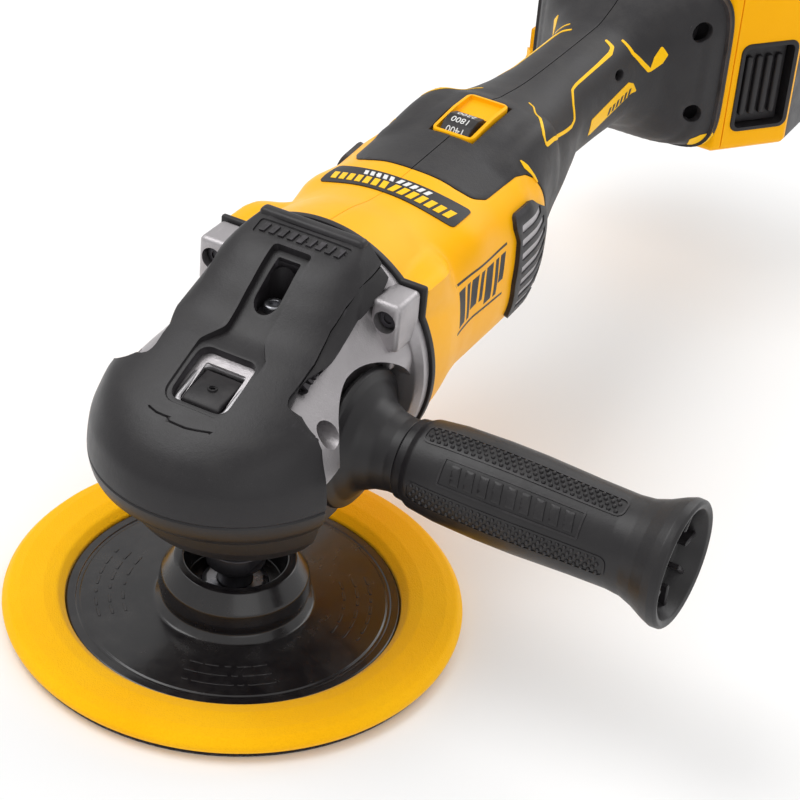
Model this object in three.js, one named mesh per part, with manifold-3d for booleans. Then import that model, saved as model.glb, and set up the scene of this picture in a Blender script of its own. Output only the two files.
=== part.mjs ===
// Cordless rotary polisher with a 178 mm foam pad, side handle and slide-on battery.
// Millimetres. Origin: centre of the pad's working face. +Z runs up the spindle,
// +Y back along the body to the battery, +X out along the side handle.

import * as THREE from 'three';
import { mergeVertices } from 'three/addons/utils/BufferGeometryUtils.js';
import Module from 'manifold-3d';

const wasm = await Module();
wasm.setup();

// ---------------------------------------------------------------- driving dimensions

const GAP = 0.3;                 // air left between two pieces that touch
const WALL = 2.4;                // moulded wall of the body halves
const SKIN = 1.8;                // rubber layer over the handle and hood

const PAD_R = 89;                // foam pad
const PAD_H = 10;
const PAD_SIDES = 30;
const DISC_R = 64.5;             // backing disc
const DISC_TOP = 5.5;
const HUB_R = 29.5;
const HUB_TOP = 25;

const MOTOR_Z = 98;              // height of the motor axis
const GEAR_Z = 78;               // height of the intermediate shaft, the bevel apex
const FLANGE_R = 49.6;           // gear case flange
const FLANGE_Y = 50;             // its rear face
const FLANGE_FRONT = 46.4;

const SPUR_MODULE = 1;
const PINION_TEETH = 8;          // motor pinion and bevel pinion
const SPUR_TEETH = 32;
const BEVEL_TEETH = 24;
const BEVEL_R = 22;              // pitch radius of the bevel ring at its outer end

const HANDLE_Y = 18.8;            // axis of the side handle
const HANDLE_Z = 85;
const HANDLE_X = 35;             // inner face of its flange
const HANDLE_END = 169;

const BOSS_X = 33.2;             // flat faces of the gear case that take the handle

const FOOT_Y = 330;              // plane between the foot and the battery
const FOOT_W = 48.5;             // half width of the foot
const PACK_X0 = -55;             // battery
const PACK_X1 = 70;
const PACK_SPLIT_Y = 362;        // seam between the two battery mouldings
const SLOPE = 52;                // degrees, sloping latch end of the battery
const PACK_Y1 = 393;
const PACK_Z0 = 78.4;
const PACK_Z1 = 155.4;

const GRIP_Z = 119;              // middle of the rear handle
const DIAL_Y = 160;              // speed dial axis
const DIAL_Z = 136.6;
const DIAL_R = 9.2;
const TRIGGER_PIVOT_Y = 284;
const TRIGGER_PIVOT_Z = 103.5;
const LOCK_Y = -21.6;            // spindle lock
const LOCK_TRAVEL = 4;
const LOCK_PIN_Y = -26.4;
const LOCK_FLOOR = 99.6;

// ---------------------------------------------------------------- materials

function finish(color, roughness, metalness) {
  return new THREE.MeshStandardMaterial({ color, roughness, metalness });
}

const YELLOW = finish(0xfdb91e, 0.45, 0);
const FOAM = finish(0xffbf1b, 0.9, 0);
const BLACK = finish(0x2b292c, 0.55, 0);
const RUBBER = finish(0x3a383b, 0.8, 0);
const GLOSS = finish(0x151315, 0.2, 0);
const CAST = finish(0xa09c9e, 0.45, 0.9);
const STEEL = finish(0x8c8c90, 0.35, 1);
const DARK_STEEL = finish(0x4a4a4e, 0.5, 0.9);
const COPPER = finish(0xb0683a, 0.4, 0.9);
const BOARD = finish(0x2f6b3a, 0.6, 0);

// ---------------------------------------------------------------- solids

// The same geometry with its corners shared between faces.
function welded(geometry) {
  const bare = geometry.clone();
  bare.deleteAttribute('normal');
  bare.deleteAttribute('uv');
  return mergeVertices(bare, 1e-4);
}

function solid(geometry) {
  const merged = welded(geometry);
  return new wasm.Manifold(new wasm.Mesh({
    numProp: 3,
    vertProperties: new Float32Array(merged.attributes.position.array),
    triVerts: new Uint32Array(merged.index.array),
  }));
}

function geometryOf(manifold) {
  const mesh = manifold.getMesh();
  const geometry = new THREE.BufferGeometry();
  geometry.setAttribute('position', new THREE.BufferAttribute(mesh.vertProperties, 3));
  geometry.setIndex(new THREE.BufferAttribute(mesh.triVerts, 1));
  return geometry;
}

function union(...solids) {
  return solids.reduce((sum, next) => sum.add(next));
}

function cut(body, ...tools) {
  return tools.reduce((rest, tool) => rest.subtract(tool), body);
}

function box(x0, x1, y0, y1, z0, z1) {
  const geometry = new THREE.BoxGeometry(x1 - x0, y1 - y0, z1 - z0);
  return solid(geometry.translate((x0 + x1) / 2, (y0 + y1) / 2, (z0 + z1) / 2));
}

// Turns a geometry made along +Y so that it runs along the given axis.
function turn(geometry, axis) {
  if (axis === 'x') return geometry.rotateZ(-Math.PI / 2);
  if (axis === 'z') return geometry.rotateX(Math.PI / 2);
  return geometry;
}

// A round bar from a to b along an axis; at holds its two other coordinates in x, y, z order.
function rod(axis, radius, a, b, at = [0, 0], sides = 24, endRadius = radius) {
  const geometry = turn(new THREE.CylinderGeometry(endRadius, radius, b - a, sides), axis);
  const middle = (a + b) / 2;
  if (axis === 'x') return solid(geometry.translate(middle, at[0], at[1]));
  if (axis === 'y') return solid(geometry.translate(at[0], middle, at[1]));
  return solid(geometry.translate(at[0], at[1], middle));
}

function tube(axis, outer, inner, a, b, at = [0, 0], sides = 24) {
  return rod(axis, outer, a, b, at, sides).subtract(rod(axis, inner, a - 1, b + 1, at, sides));
}

// A turned piece. The profile lists [radius, height] and is closed by the axis or by itself.
function turned(axis, profile, at = [0, 0], sides = 32) {
  const points = profile.map(([r, h]) => new THREE.Vector2(r, h));
  const geometry = turn(new THREE.LatheGeometry(points, sides), axis);
  if (axis === 'x') return solid(geometry.translate(0, at[0], at[1]));
  if (axis === 'y') return solid(geometry.translate(at[0], 0, at[1]));
  return solid(geometry.translate(at[0], at[1], 0));
}

// A flat outline in Y and Z, as thick as x0 to x1.
function sidePlate(points, x0, x1) {
  const shape = new THREE.Shape(points.map(([y, z]) => new THREE.Vector2(y, z)));
  const geometry = new THREE.ExtrudeGeometry(shape, { depth: x1 - x0, bevelEnabled: false });
  const toRow = new THREE.Matrix4().set(0, 0, 1, x0, 1, 0, 0, 0, 0, 1, 0, 0, 0, 0, 0, 1);
  return solid(geometry.applyMatrix4(toRow));
}

// A flat outline in X and Y, as thick as z0 to z1.
function floorPlate(shape, z0, z1) {
  const geometry = new THREE.ExtrudeGeometry(shape, {
    depth: z1 - z0, bevelEnabled: false, curveSegments: 3,
  });
  return solid(geometry.translate(0, 0, z0));
}

function roundedRectangle(x0, x1, y0, y1, r) {
  const shape = new THREE.Shape();
  shape.moveTo(x0 + r, y0);
  shape.lineTo(x1 - r, y0);
  shape.absarc(x1 - r, y0 + r, r, -Math.PI / 2, 0, false);
  shape.absarc(x1 - r, y1 - r, r, 0, Math.PI / 2, false);
  shape.absarc(x0 + r, y1 - r, r, Math.PI / 2, Math.PI, false);
  shape.absarc(x0 + r, y0 + r, r, Math.PI, Math.PI * 1.5, false);
  return shape;
}

// A signed power, which squares off a circle as the exponent falls below 1.
function bulge(value, exponent) {
  return Math.sign(value) * Math.abs(value) ** exponent;
}

// A closed solid from stations, bottom to top. place(station, angle, radius) gives each point,
// with radius 0 at the middle of an end and 1 on the outside.
function loft(stations, sides, place) {
  const shape = welded(new THREE.CylinderGeometry(1, 1, 1, sides, stations.length - 1));
  const position = shape.attributes.position;
  const last = stations.length - 1;
  for (let i = 0; i < position.count; i += 1) {
    const station = stations[Math.round((position.getY(i) + 0.5) * last)];
    const radius = Math.round(Math.hypot(position.getX(i), position.getZ(i)));
    const angle = Math.atan2(position.getX(i), position.getZ(i));
    const point = place(station, angle, radius);
    position.setXYZ(i, point.x, point.y, point.z);
  }
  return solid(shape);
}

// Straight-line reading of a table of [key, value] rows.
function read(table, key) {
  const next = table.findIndex((row) => row[0] > key);
  if (next === 0) return table[0][1];
  if (next < 0) return table[table.length - 1][1];
  const [k0, v0] = table[next - 1];
  const [k1, v1] = table[next];
  return v0 + (v1 - v0) * (key - k0) / (k1 - k0);
}

function mirrorX(body) {
  return body.mirror([1, 0, 0]);
}

// The half of a body with x of the given sign, short of the middle by half a gap.
function half(body, side) {
  const reach = 200;
  const near = GAP / 2;
  const keep = side > 0
    ? box(near, reach, -reach, 2 * reach, -reach, 2 * reach)
    : box(-reach, -near, -reach, 2 * reach, -reach, 2 * reach);
  return body.intersect(keep);
}

// ---------------------------------------------------------------- the part

const polisher = new THREE.Group();

function add(name, body, material) {
  const mesh = new THREE.Mesh(geometryOf(body), material);
  mesh.name = name;
  polisher.add(mesh);
}

// ---------------------------------------------------------------- body outline

// Stations of the body and rear handle: y, half width, top, bottom, squareness.
const BODY = [
  [52.8, 49.4, 147.4, 48.6, 2], [70, 47.4, 145.4, 50.6, 2], [86, 43.4, 141.4, 54.6, 2],
  [100, 41.6, 139.4, 56.4, 2.05], [147, 42.2, 143.4, 56, 2.3], [184, 42, 143.4, 57, 2.3],
  [196, 37, 142.4, 65, 2.3], [208, 28.5, 141, 80, 2.3], [220, 22.5, 140.2, 94, 2.4],
  [236, 20.5, 140, 98.2, 2.4], [284, 21.5, 140.6, 98, 2.5], [300, 27, 144.5, 94, 3],
  [314, 38, 151, 86, 4], [FOOT_Y - GAP, FOOT_W, 155.4, 79, 6],
];

// The body outline drawn in by a depth, from station y0 to y1.
function bodyLoft(depth, y0, y1, sides = 18) {
  const inner = BODY.filter(([y]) => y > y0 && y < y1);
  const column = (index) => BODY.map((row) => [row[0], row[index]]);
  const at = (y) => [y, ...[1, 2, 3, 4].map((index) => read(column(index), y))];
  return loft([at(y0), ...inner, at(y1)], sides, ([y, w, top, bottom, n], angle, radius) => {
    const power = 2 / n;
    const high = (top - bottom) / 2 - depth;
    return new THREE.Vector3(
      radius * (w - depth) * bulge(Math.sin(angle), power),
      y,
      (top + bottom) / 2 + radius * high * bulge(Math.cos(angle), power),
    );
  });
}

// ---------------------------------------------------------------- head outline

// Stations of the head by height: z, front y, half width, y of the widest place,
// half width at the rear, squareness of the nose.
const HEAD = [
  [70, -53.6, 49, -5, 41.6, 2], [75, -58.4, 53.4, -5, 45, 2], [82, -60, 55, -5, 47.5, 2],
  [92, -58.6, 53.8, -5, 49.6, 2.05], [100, -53.4, 51.2, -5, 50, 2.15],
  [107, -44.4, 48, -4, 50, 2.35], [113.2, -31.8, 43, 2, 49.5, 2.6],
  [122.4, -11.2, 36.5, 14, 46, 2.8], [127, 0, 34.5, 20, 43, 2.8],
  [136.5, 13.3, 31, 30, 35, 2.8], [145, 26.2, 26, 37, 26, 2.8], [149.6, 40, 22, 43, 22, 3],
];
const HEAD_REAR = 46;

// The head outline drawn in by a depth: sideways low down, downwards on the slopes.
function headLoft(depth, sides = 20) {
  const stations = HEAD.map(([z, front, w, wide, rear, n]) => {
    const slope = THREE.MathUtils.smoothstep(z, 92, 112);
    return {
      z: z - depth * (1.15 * slope) - (z === HEAD[0][0] && depth > 0 ? 1 : 0),
      front: front + depth * (1 - 0.8 * slope),
      w: w - depth * (1 - 0.3 * slope),
      wide, n,
      rear: rear - depth,
    };
  });
  const noseShare = 0.5;
  return loft(stations, sides, (s, angle, radius) => {
    const turnShare = Math.abs(angle) / Math.PI;
    const side = Math.sign(angle);
    const middle = (s.wide + s.front) / 2;
    let x;
    let y;
    if (turnShare <= noseShare) {
      const t = (turnShare / noseShare) * Math.PI / 2;
      x = side * s.w * bulge(Math.sin(t), 2 / s.n);
      y = s.wide - (s.wide - s.front) * bulge(Math.cos(t), 2 / s.n);
    } else {
      const t = (turnShare - noseShare) / (1 - noseShare);
      const cornerShare = 0.35;
      const back = Math.min(1, t / cornerShare);
      const across = Math.max(0, (t - cornerShare) / (1 - cornerShare));
      x = side * (s.w + (s.rear - s.w) * back) * (1 - across);
      y = s.wide + (HEAD_REAR - s.wide) * back;
    }
    return new THREE.Vector3(x * radius, middle + (y - middle) * radius, s.z);
  });
}

// ---------------------------------------------------------------- pad

function makePad() {
  const hookR = PAD_R - 3;
  add('hook_face', rod('z', hookR, 0, 1.2, [0, 0], PAD_SIDES), BLACK);

  const recess = 3;
  add('foam_cushion', turned('z', [
    [0, 1.5], [84, 1.5], [88, 3.2], [PAD_R, 6], [86.6, 9], [83, PAD_H], [71, PAD_H],
    [67.4, 8.8], [DISC_R + GAP, 6], [DISC_R + GAP, recess], [0, recess],
  ], [0, 0], PAD_SIDES), FOAM);

  const insertR = 13;
  const cup = 19.5;
  add('backing_disc', turned('z', [
    [insertR + GAP, recess + GAP], [DISC_R, recess + GAP], [DISC_R, DISC_TOP - 0.4],
    [DISC_R - 0.6, DISC_TOP], [29, DISC_TOP], [27.6, 8], [HUB_R, 12.5], [28.4, 18],
    [23, HUB_TOP], [cup, HUB_TOP], [cup - 1, 13], [insertR + GAP, 12],
    [insertR + GAP, recess + GAP],
  ], [0, 0], PAD_SIDES), GLOSS);

  const thread = 7;
  add('hub_insert', turned('z', [
    [thread + GAP, 4], [insertR, 4], [insertR, 13], [11, 14], [thread + GAP, 14], [thread + GAP, 4],
  ], [0, 0], 16), STEEL);
}

// ---------------------------------------------------------------- gears

// The outline of a spur gear with straight flanks.
function gearOutline(teeth, module, phase) {
  const shape = new THREE.Shape();
  const pitch = teeth * module / 2;
  const step = 2 * Math.PI / teeth;
  const flank = [[-0.33, -1.2], [-0.11, 0.9], [0.11, 0.9], [0.33, -1.2]];
  for (let tooth = 0; tooth < teeth; tooth += 1) {
    for (const [turnPart, rise] of flank) {
      const angle = phase + (tooth + turnPart) * step;
      const r = pitch + rise * module;
      const point = [r * Math.cos(angle), r * Math.sin(angle)];
      if (shape.curves.length === 0 && tooth === 0 && turnPart === flank[0][0]) shape.moveTo(...point);
      else shape.lineTo(...point);
    }
  }
  return shape;
}

// A spur gear lying along Y, from y0 to y1.
function spurGear(teeth, module, phase, y0, y1, z) {
  const geometry = new THREE.ExtrudeGeometry(gearOutline(teeth, module, phase), {
    depth: y1 - y0, bevelEnabled: false,
  });
  return solid(geometry.rotateX(-Math.PI / 2).translate(0, y0, 0).translate(0, 0, z));
}

// One straight bevel tooth on a pitch cone about +Z whose apex is the origin and which opens
// downwards. across is the pitch radius at the outer end and along its distance from the apex.
function bevelTooth(across, along, module, angle) {
  const inner = 0.68;
  const slant = Math.hypot(across, along);
  const up = new THREE.Vector3(along / slant, 0, across / slant);
  const pitchPoint = new THREE.Vector3(across, 0, -along);
  const tooth = new THREE.BoxGeometry(2, 2, 2);
  const position = tooth.attributes.position;
  for (let i = 0; i < position.count; i += 1) {
    const rise = position.getZ(i) > 0 ? 0.85 : -1.7;
    const width = position.getZ(i) > 0 ? 0.38 : 1.05;
    const point = pitchPoint.clone().addScaledVector(up, rise * module);
    point.y = position.getY(i) * width * module;
    point.multiplyScalar(position.getX(i) > 0 ? 1 : inner);
    position.setXYZ(i, point.x, point.y, point.z);
  }
  return solid(tooth.rotateZ(angle));
}

function bevelTeeth(teeth, across, along, module, phase) {
  const ring = [];
  for (let tooth = 0; tooth < teeth; tooth += 1) {
    ring.push(bevelTooth(across, along, module, phase + tooth * 2 * Math.PI / teeth));
  }
  return ring;
}

const BEVEL_MODULE = 2 * BEVEL_R / BEVEL_TEETH;
const BEVEL_PINION_R = BEVEL_MODULE * PINION_TEETH / 2;

function makeSpindle() {
  const thread = 6.9;
  const journal = 8.5;
  const shaft = turned('z', [
    [0, 5], [thread - 0.8, 5], [thread, 6], [thread, 22], [10.5, 22.5], [11.5, 23.5], [11.5, 30],
    [10, 31], [10, 52.5], [journal, 53], [journal, 82], [5.9, 82.6], [5.9, 93], [0, 93],
  ], [0, 0], 16);
  const flat = 9.6;
  const flats = [box(flat, 20, -20, 20, 24.5, 29.5), box(-20, -flat, -20, 20, 24.5, 29.5)];
  add('spindle', cut(shaft, ...flats), STEEL);
}

// Bevel ring on the spindle, with a slotted rim outside its teeth for the lock pin.
function makeBevelRing() {
  const bore = 8.5 + GAP;
  const base = 66.6;
  const rimTop = 69.8;
  const body = turned('z', [
    [bore, base], [28.6, base], [28.6, rimTop], [24.6, rimTop], [23.6, 67.6], [14.6, 70.6],
    [13, 76.4], [bore, 76.4], [bore, base],
  ], [0, 0], 24);
  const slots = [];
  const count = 12;
  for (let i = 0; i < count; i += 1) {
    const geometry = new THREE.BoxGeometry(9.4, 4.6, 4).translate(28.7, 0, 69.6);
    slots.push(solid(geometry.rotateZ(Math.PI / 2 + i * 2 * Math.PI / count)));
  }
  const half0 = Math.PI / BEVEL_TEETH;
  const teeth = bevelTeeth(BEVEL_TEETH, BEVEL_R, BEVEL_PINION_R, BEVEL_MODULE, Math.PI / 2 + half0)
    .map((tooth) => tooth.translate([0, 0, GEAR_Z]));
  const lowCut = box(-40, 40, -40, 40, 40, base);
  add('bevel_ring_gear', cut(union(body, ...teeth), lowCut, ...slots), STEEL);
}

function makeIntermediate() {
  const teeth = bevelTeeth(PINION_TEETH, BEVEL_PINION_R, BEVEL_R, BEVEL_MODULE, 0);
  // The cone that opens downwards is turned to open towards +Y.
  const turnedTeeth = teeth.map((tooth) => tooth.rotate([90, 0, 0]).translate([0, 0, GEAR_Z]));
  const journal = 5;
  const cone = turned('y', [
    [0, 14], [3.4, 14], [5.1, 22.2], [7, 23], [journal, 24], [journal, 56.4], [0, 56.4],
  ], [0, GEAR_Z], 16);
  add('bevel_pinion_shaft', union(cone, ...turnedTeeth), STEEL);

  const gear = spurGear(SPUR_TEETH, SPUR_MODULE, Math.PI / 2, 38, 46, GEAR_Z);
  add('intermediate_gear', cut(gear, rod('y', journal + GAP, 37, 47, [0, GEAR_Z], 16)), STEEL);
}

function makeRotor() {
  const shaftR = 4;
  const gapDown = Math.PI / 2 + Math.PI / PINION_TEETH;
  const pinion = spurGear(PINION_TEETH, SPUR_MODULE, gapDown, 38.5, 46.5, MOTOR_Z);
  const shaft = rod('y', 2.6, 46.4, 49.4, [0, MOTOR_Z], 12).add(
    rod('y', shaftR, 49.3, 152, [0, MOTOR_Z], 16),
  );
  add('rotor_shaft', union(pinion, shaft), STEEL);

  const bore = shaftR + GAP;
  add('rotor_core', tube('y', 20, bore, 88, 134, [0, MOTOR_Z], 18), DARK_STEEL);

  const hub = tube('y', 9, bore, 66, 78, [0, MOTOR_Z], 12);
  const plate = tube('y', 34, bore, 76, 78, [0, MOTOR_Z], 20);
  const blades = [];
  const count = 7;
  for (let i = 0; i < count; i += 1) {
    const blade = new THREE.BoxGeometry(18, 9, 1.6).translate(23, 72, 0);
    blade.rotateY(i * 2 * Math.PI / count);
    blades.push(solid(blade.translate(0, 0, MOTOR_Z)));
  }
  add('cooling_fan', union(hub, plate, ...blades), BLACK);
}

// ---------------------------------------------------------------- head

// Places of the four flange screws, as x and z.
const FLANGE_SCREWS = [[37.4, 127], [-37.4, 127], [27, 64], [-27, 64]];

// Room beside the head for the side handle, on the side of the given sign.
function sideRoom(side, x, outline) {
  return side > 0 ? sidePlate(outline, x, 80) : sidePlate(outline, -80, -x);
}

const CASE_BASE = 68.3;          // joint between gear case and bearing retainer
const SPUR_WALL_Y = 33;          // front of the wall round the spur gears

// Pocket in the top of the gear case for the cover's screw seat.
const SCREW_SEAT = { x: 7, y0: 5, y1: 29, z0: 122, z1: 126, screwY: 18 };

function makeGearCase() {
  const depth = 4.3;
  const handleRoom = [[-15, 40], [FLANGE_FRONT, 40], [FLANGE_FRONT, 104], [30, 118], [-2, 118],
    [-15, 100]];
  const shell = cut(headLoft(depth), sideRoom(1, BOSS_X, handleRoom), sideRoom(-1, BOSS_X, handleRoom),
    box(-60, 60, -80, SPUR_WALL_Y, 40, CASE_BASE));
  const flange = rod('y', FLANGE_R, FLANGE_FRONT, FLANGE_Y, [0, MOTOR_Z], 28);
  const spurWall = rod('y', 21, SPUR_WALL_Y, FLANGE_Y, [0, GEAR_Z], 20);
  const ears = FLANGE_SCREWS.map(([x, z]) => (z > MOTOR_Z
    ? box(x - 6, x + 6, 34, FLANGE_Y, z - 8, z + 8) : rod('y', 6, 34, FLANGE_Y, [x, z], 12)));
  const collar = floorPlate(roundedRectangle(-10.6, 10.6, LOCK_Y - 11, LOCK_Y + 11, 4), 100, 113.5);

  const { x, y0, y1, z0, screwY } = SCREW_SEAT;
  const rooms = [
    rod('z', 30, 40, 82.5, [0, 0], 28).intersect(box(-60, 60, -60, SPUR_WALL_Y, 40, 90)),
    rod('z', 11.3, 82, 95, [0, 0], 14),
    rod('y', 10.8, 4, 28, [0, GEAR_Z], 16),
    rod('y', 8.3, 24, 36, [0, GEAR_Z], 12),
    rod('y', 5.6, 24, 60, [0, GEAR_Z], 12),
    rod('y', 17.8, 36.5, 60, [0, GEAR_Z], 24),
    rod('y', 8, 36.5, 60, [0, MOTOR_Z], 16),
    rod('z', 2.6, 60, 108, [0, LOCK_PIN_Y], 8),
    floorPlate(roundedRectangle(-8.4, 8.4, LOCK_Y - 8.8, LOCK_Y + 8.8, 0.8), LOCK_FLOOR, 130),
    rod('x', 5.3, 23.2, 40, [HANDLE_Y, HANDLE_Z], 12),
    rod('x', 5.3, -40, -23.2, [HANDLE_Y, HANDLE_Z], 12),
    box(-x - 0.4, x + 0.4, y0 - 0.4, y1 + 0.4, z0 - GAP, 170),
    rod('z', 2.3, 108, 135, [0, screwY], 8),
    ...FLANGE_SCREWS.map(([sx, sz]) => rod('y', 2.6, 20, 60, [sx, sz], 8)),
    ...FLANGE_SCREWS.map(([sx, sz]) => rod('y', 4.6, 20, 41, [sx, sz], 8)),
  ];
  add('gear_case', cut(union(shell, flange, spurWall, ...ears, collar), ...rooms), CAST);

  FLANGE_SCREWS.forEach(([x, z], index) => {
    const screw = rod('y', 4.2, 36.5, 40.7, [x, z], 8).add(rod('y', 2.1, 40.5, 66, [x, z], 8));
    const socket = rod('y', 2.1, 30, 38.8, [x, z], 6);
    add(`gear_case_screw_${index + 1}`, screw.subtract(socket), DARK_STEEL);
  });
}

function makeBearings() {
  const spindleR = 8.5 + GAP;
  add('spindle_bearing_lower', tube('z', 17.4, spindleR, 54, 65, [0, 0], 14), STEEL);
  add('spindle_bearing_upper', tube('z', 11, 5.9 + GAP, 83.2, 92, [0, 0], 14), STEEL);
  add('intermediate_bearing_front', tube('y', 8, 5 + GAP, 25, 35.5, [0, GEAR_Z], 12), STEEL);
  add('intermediate_bearing_rear', tube('y', 8, 5 + GAP, 50.6, 55.6, [0, GEAR_Z], 12), STEEL);
  add('rotor_bearing_front', tube('y', 11, 4 + GAP, 51.6, 58.6, [0, MOTOR_Z], 12), STEEL);
  add('rotor_bearing_rear', tube('y', 9.5, 4 + GAP, 141, 148, [0, MOTOR_Z], 12), STEEL);

  const retainer = turned('z', [
    [11, 50.8], [37.6, 50.8], [39.6, 52.6], [43.4, 58], [46, 68], [32, 68],
    [32, 65.6], [17.7, 65.6], [17.7, 53.7], [11, 53.7], [11, 50.8],
  ], [0, 0], 24);
  const trim = [
    box(BOSS_X, 80, -14, 60, 40, 80), box(-80, -BOSS_X, -14, 60, 40, 80),
    box(-60, 60, SPUR_WALL_Y - GAP, 80, 40, 80),
  ];
  add('bearing_retainer', cut(retainer, ...trim), DARK_STEEL);
}

// The plate behind the gear case that carries the rear ends of both shafts.
function makeBearingPlate() {
  const plate = rod('y', 42.4, 50.4, 56.8, [0, MOTOR_Z], 24);
  const holes = [
    rod('y', 11.3, 51.3, 60, [0, MOTOR_Z], 20), rod('y', 6, 40, 60, [0, MOTOR_Z], 16),
    rod('y', 8.3, 40, 55.9, [0, GEAR_Z], 12), rod('y', 5.6, 40, 60, [0, GEAR_Z], 12),
    ...FLANGE_SCREWS.map(([x, z]) => rod('y', 2.6, 40, 60, [x, z], 8)),
  ];
  add('bearing_plate', cut(plate, ...holes), CAST);
  const ring = tube('y', 50.4, 43.9, 50.4, 52.4, [0, MOTOR_Z], 28);
  const ears = FLANGE_SCREWS.slice(0, 2)
    .map(([x, z]) => box(x - 6.6, x + 6.6, 50.4, 52.4, z - 8.6, z + 8.6));
  const bore = rod('y', 43.9, 49, 54, [0, MOTOR_Z], 28);
  const holesForScrews = FLANGE_SCREWS.map(([x, z]) => rod('y', 2.6, 49, 54, [x, z], 12));
  add('seal_ring', cut(union(ring, ...ears), bore, ...holesForScrews), RUBBER);
}

// Cover over the head, open below and at the back, cut back at both sides.
function makeHeadCover() {
  const outer = headLoft(0);
  const inner = headLoft(3.6).add(headLoft(3.6).translate([0, 12, -0.4]));
  const sideOutline = [[-15, 50], [60, 50], [60, 139], [42, 134.5], [-4, 122], [-15, 106]];
  const window = floorPlate(roundedRectangle(-12, 12, LOCK_Y - 11.4, LOCK_Y + 11.4, 4), 90, 140);
  const channel = sidePlate([[0, 124.9], [27, 143], [20, 160], [-2, 160]], -8, 8);
  const rib = sidePlate([[40.5, 146], [46, 146], [46, 150], [43, 151.4], [40.5, 149.6]], -22, 22);
  const earRoom = FLANGE_SCREWS.slice(0, 2)
    .map(([x, z]) => box(x - 6.4, x + 6.4, 33.6, 60, z - 20, z + 8.4));

  const { x, y0, y1, z0, z1, screwY } = SCREW_SEAT;
  const tub = outer.intersect(box(-x, x, y0, y1, z0, 160));
  const pocket = floorPlate(roundedRectangle(-4.4, 4.4, y0 + 3, y1 - 3, 4.3), z1, 160);
  const shell = cut(outer, inner, box(-60, 60, 45.7, 80, 40, 160), sideRoom(1, 30, sideOutline),
    sideRoom(-1, 30, sideOutline), rod('y', FLANGE_R + GAP, FLANGE_FRONT - GAP, 60, [0, MOTOR_Z], 28));
  add('head_cover', cut(union(shell, rib, tub), window, channel, pocket, ...earRoom,
    rod('z', 2.6, 90, 160, [0, screwY], 8)), BLACK);

  const head = rod('z', 4, z1 + GAP, z1 + 3.3, [0, screwY], 12);
  const shank = rod('z', 2, 110, z1 + 0.5, [0, screwY], 8);
  const socket = rod('z', 1.9, z1 + 1.6, z1 + 5, [0, screwY], 6);
  add('head_cover_screw', cut(head.add(shank), socket), STEEL);
}

function makeSpindleLock() {
  const reach = 8.2;
  const capBase = 106;
  const cap = sidePlate([
    [LOCK_Y - reach, capBase], [LOCK_Y + reach, capBase], [LOCK_Y + reach, 117.6],
    [LOCK_Y - reach, 111],
  ], -7.9, 7.9);
  const pinTop = 108;
  add('spindle_lock_button', cut(cap, rod('z', 2.3, 100, pinTop + GAP, [0, LOCK_PIN_Y], 8)), BLACK);
  const slotFloor = 67.6;
  add('lock_pin', rod('z', 1.9, slotFloor + GAP + LOCK_TRAVEL, pinTop, [0, LOCK_PIN_Y], 8), STEEL);
  add('lock_spring', tube('z', 4.2, 3.2, LOCK_FLOOR + GAP, capBase - GAP, [0, -18.2], 12), STEEL);
}

// ---------------------------------------------------------------- motor and body

function makeStator() {
  const ring = tube('y', 35.2, 29, 84, 136, [0, MOTOR_Z], 24);
  const teeth = [];
  const count = 6;
  for (let i = 0; i < count; i += 1) {
    const pole = new THREE.BoxGeometry(9.5, 46, 9).translate(25.6, 111, 0);
    pole.rotateY(i * 2 * Math.PI / count);
    teeth.push(solid(pole.translate(0, 0, MOTOR_Z)));
  }
  const bore = rod('y', 20.8, 80, 140, [0, MOTOR_Z], 24);
  add('stator', cut(union(ring, ...teeth), bore), COPPER);
}

const SKIN_REGION = [
  [109, 150], [110.5, 141], [117, 135.6], [127, 131], [154, 132.4], [166, 122], [173, 98],
  [183, 66], [190, 30], [350, 30], [350, 180], [109, 180],
];
const VENT_Y = [126, 161];
const VENT_Z = [80, 125];

const DIAL_ROOM = { x: 9.6, y0: 149.2, y1: 182.8 };
const LOCK_ON = { y0: 235, y1: 249, z0: 113, z1: 123 };

// Screws that join the two halves, as y and z, with the x of the screw's seat.
const HALF_SCREWS = [[316, 98, 28], [316, 138, 28], [270, 129, 10], [208, 100, 14]];

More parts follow.
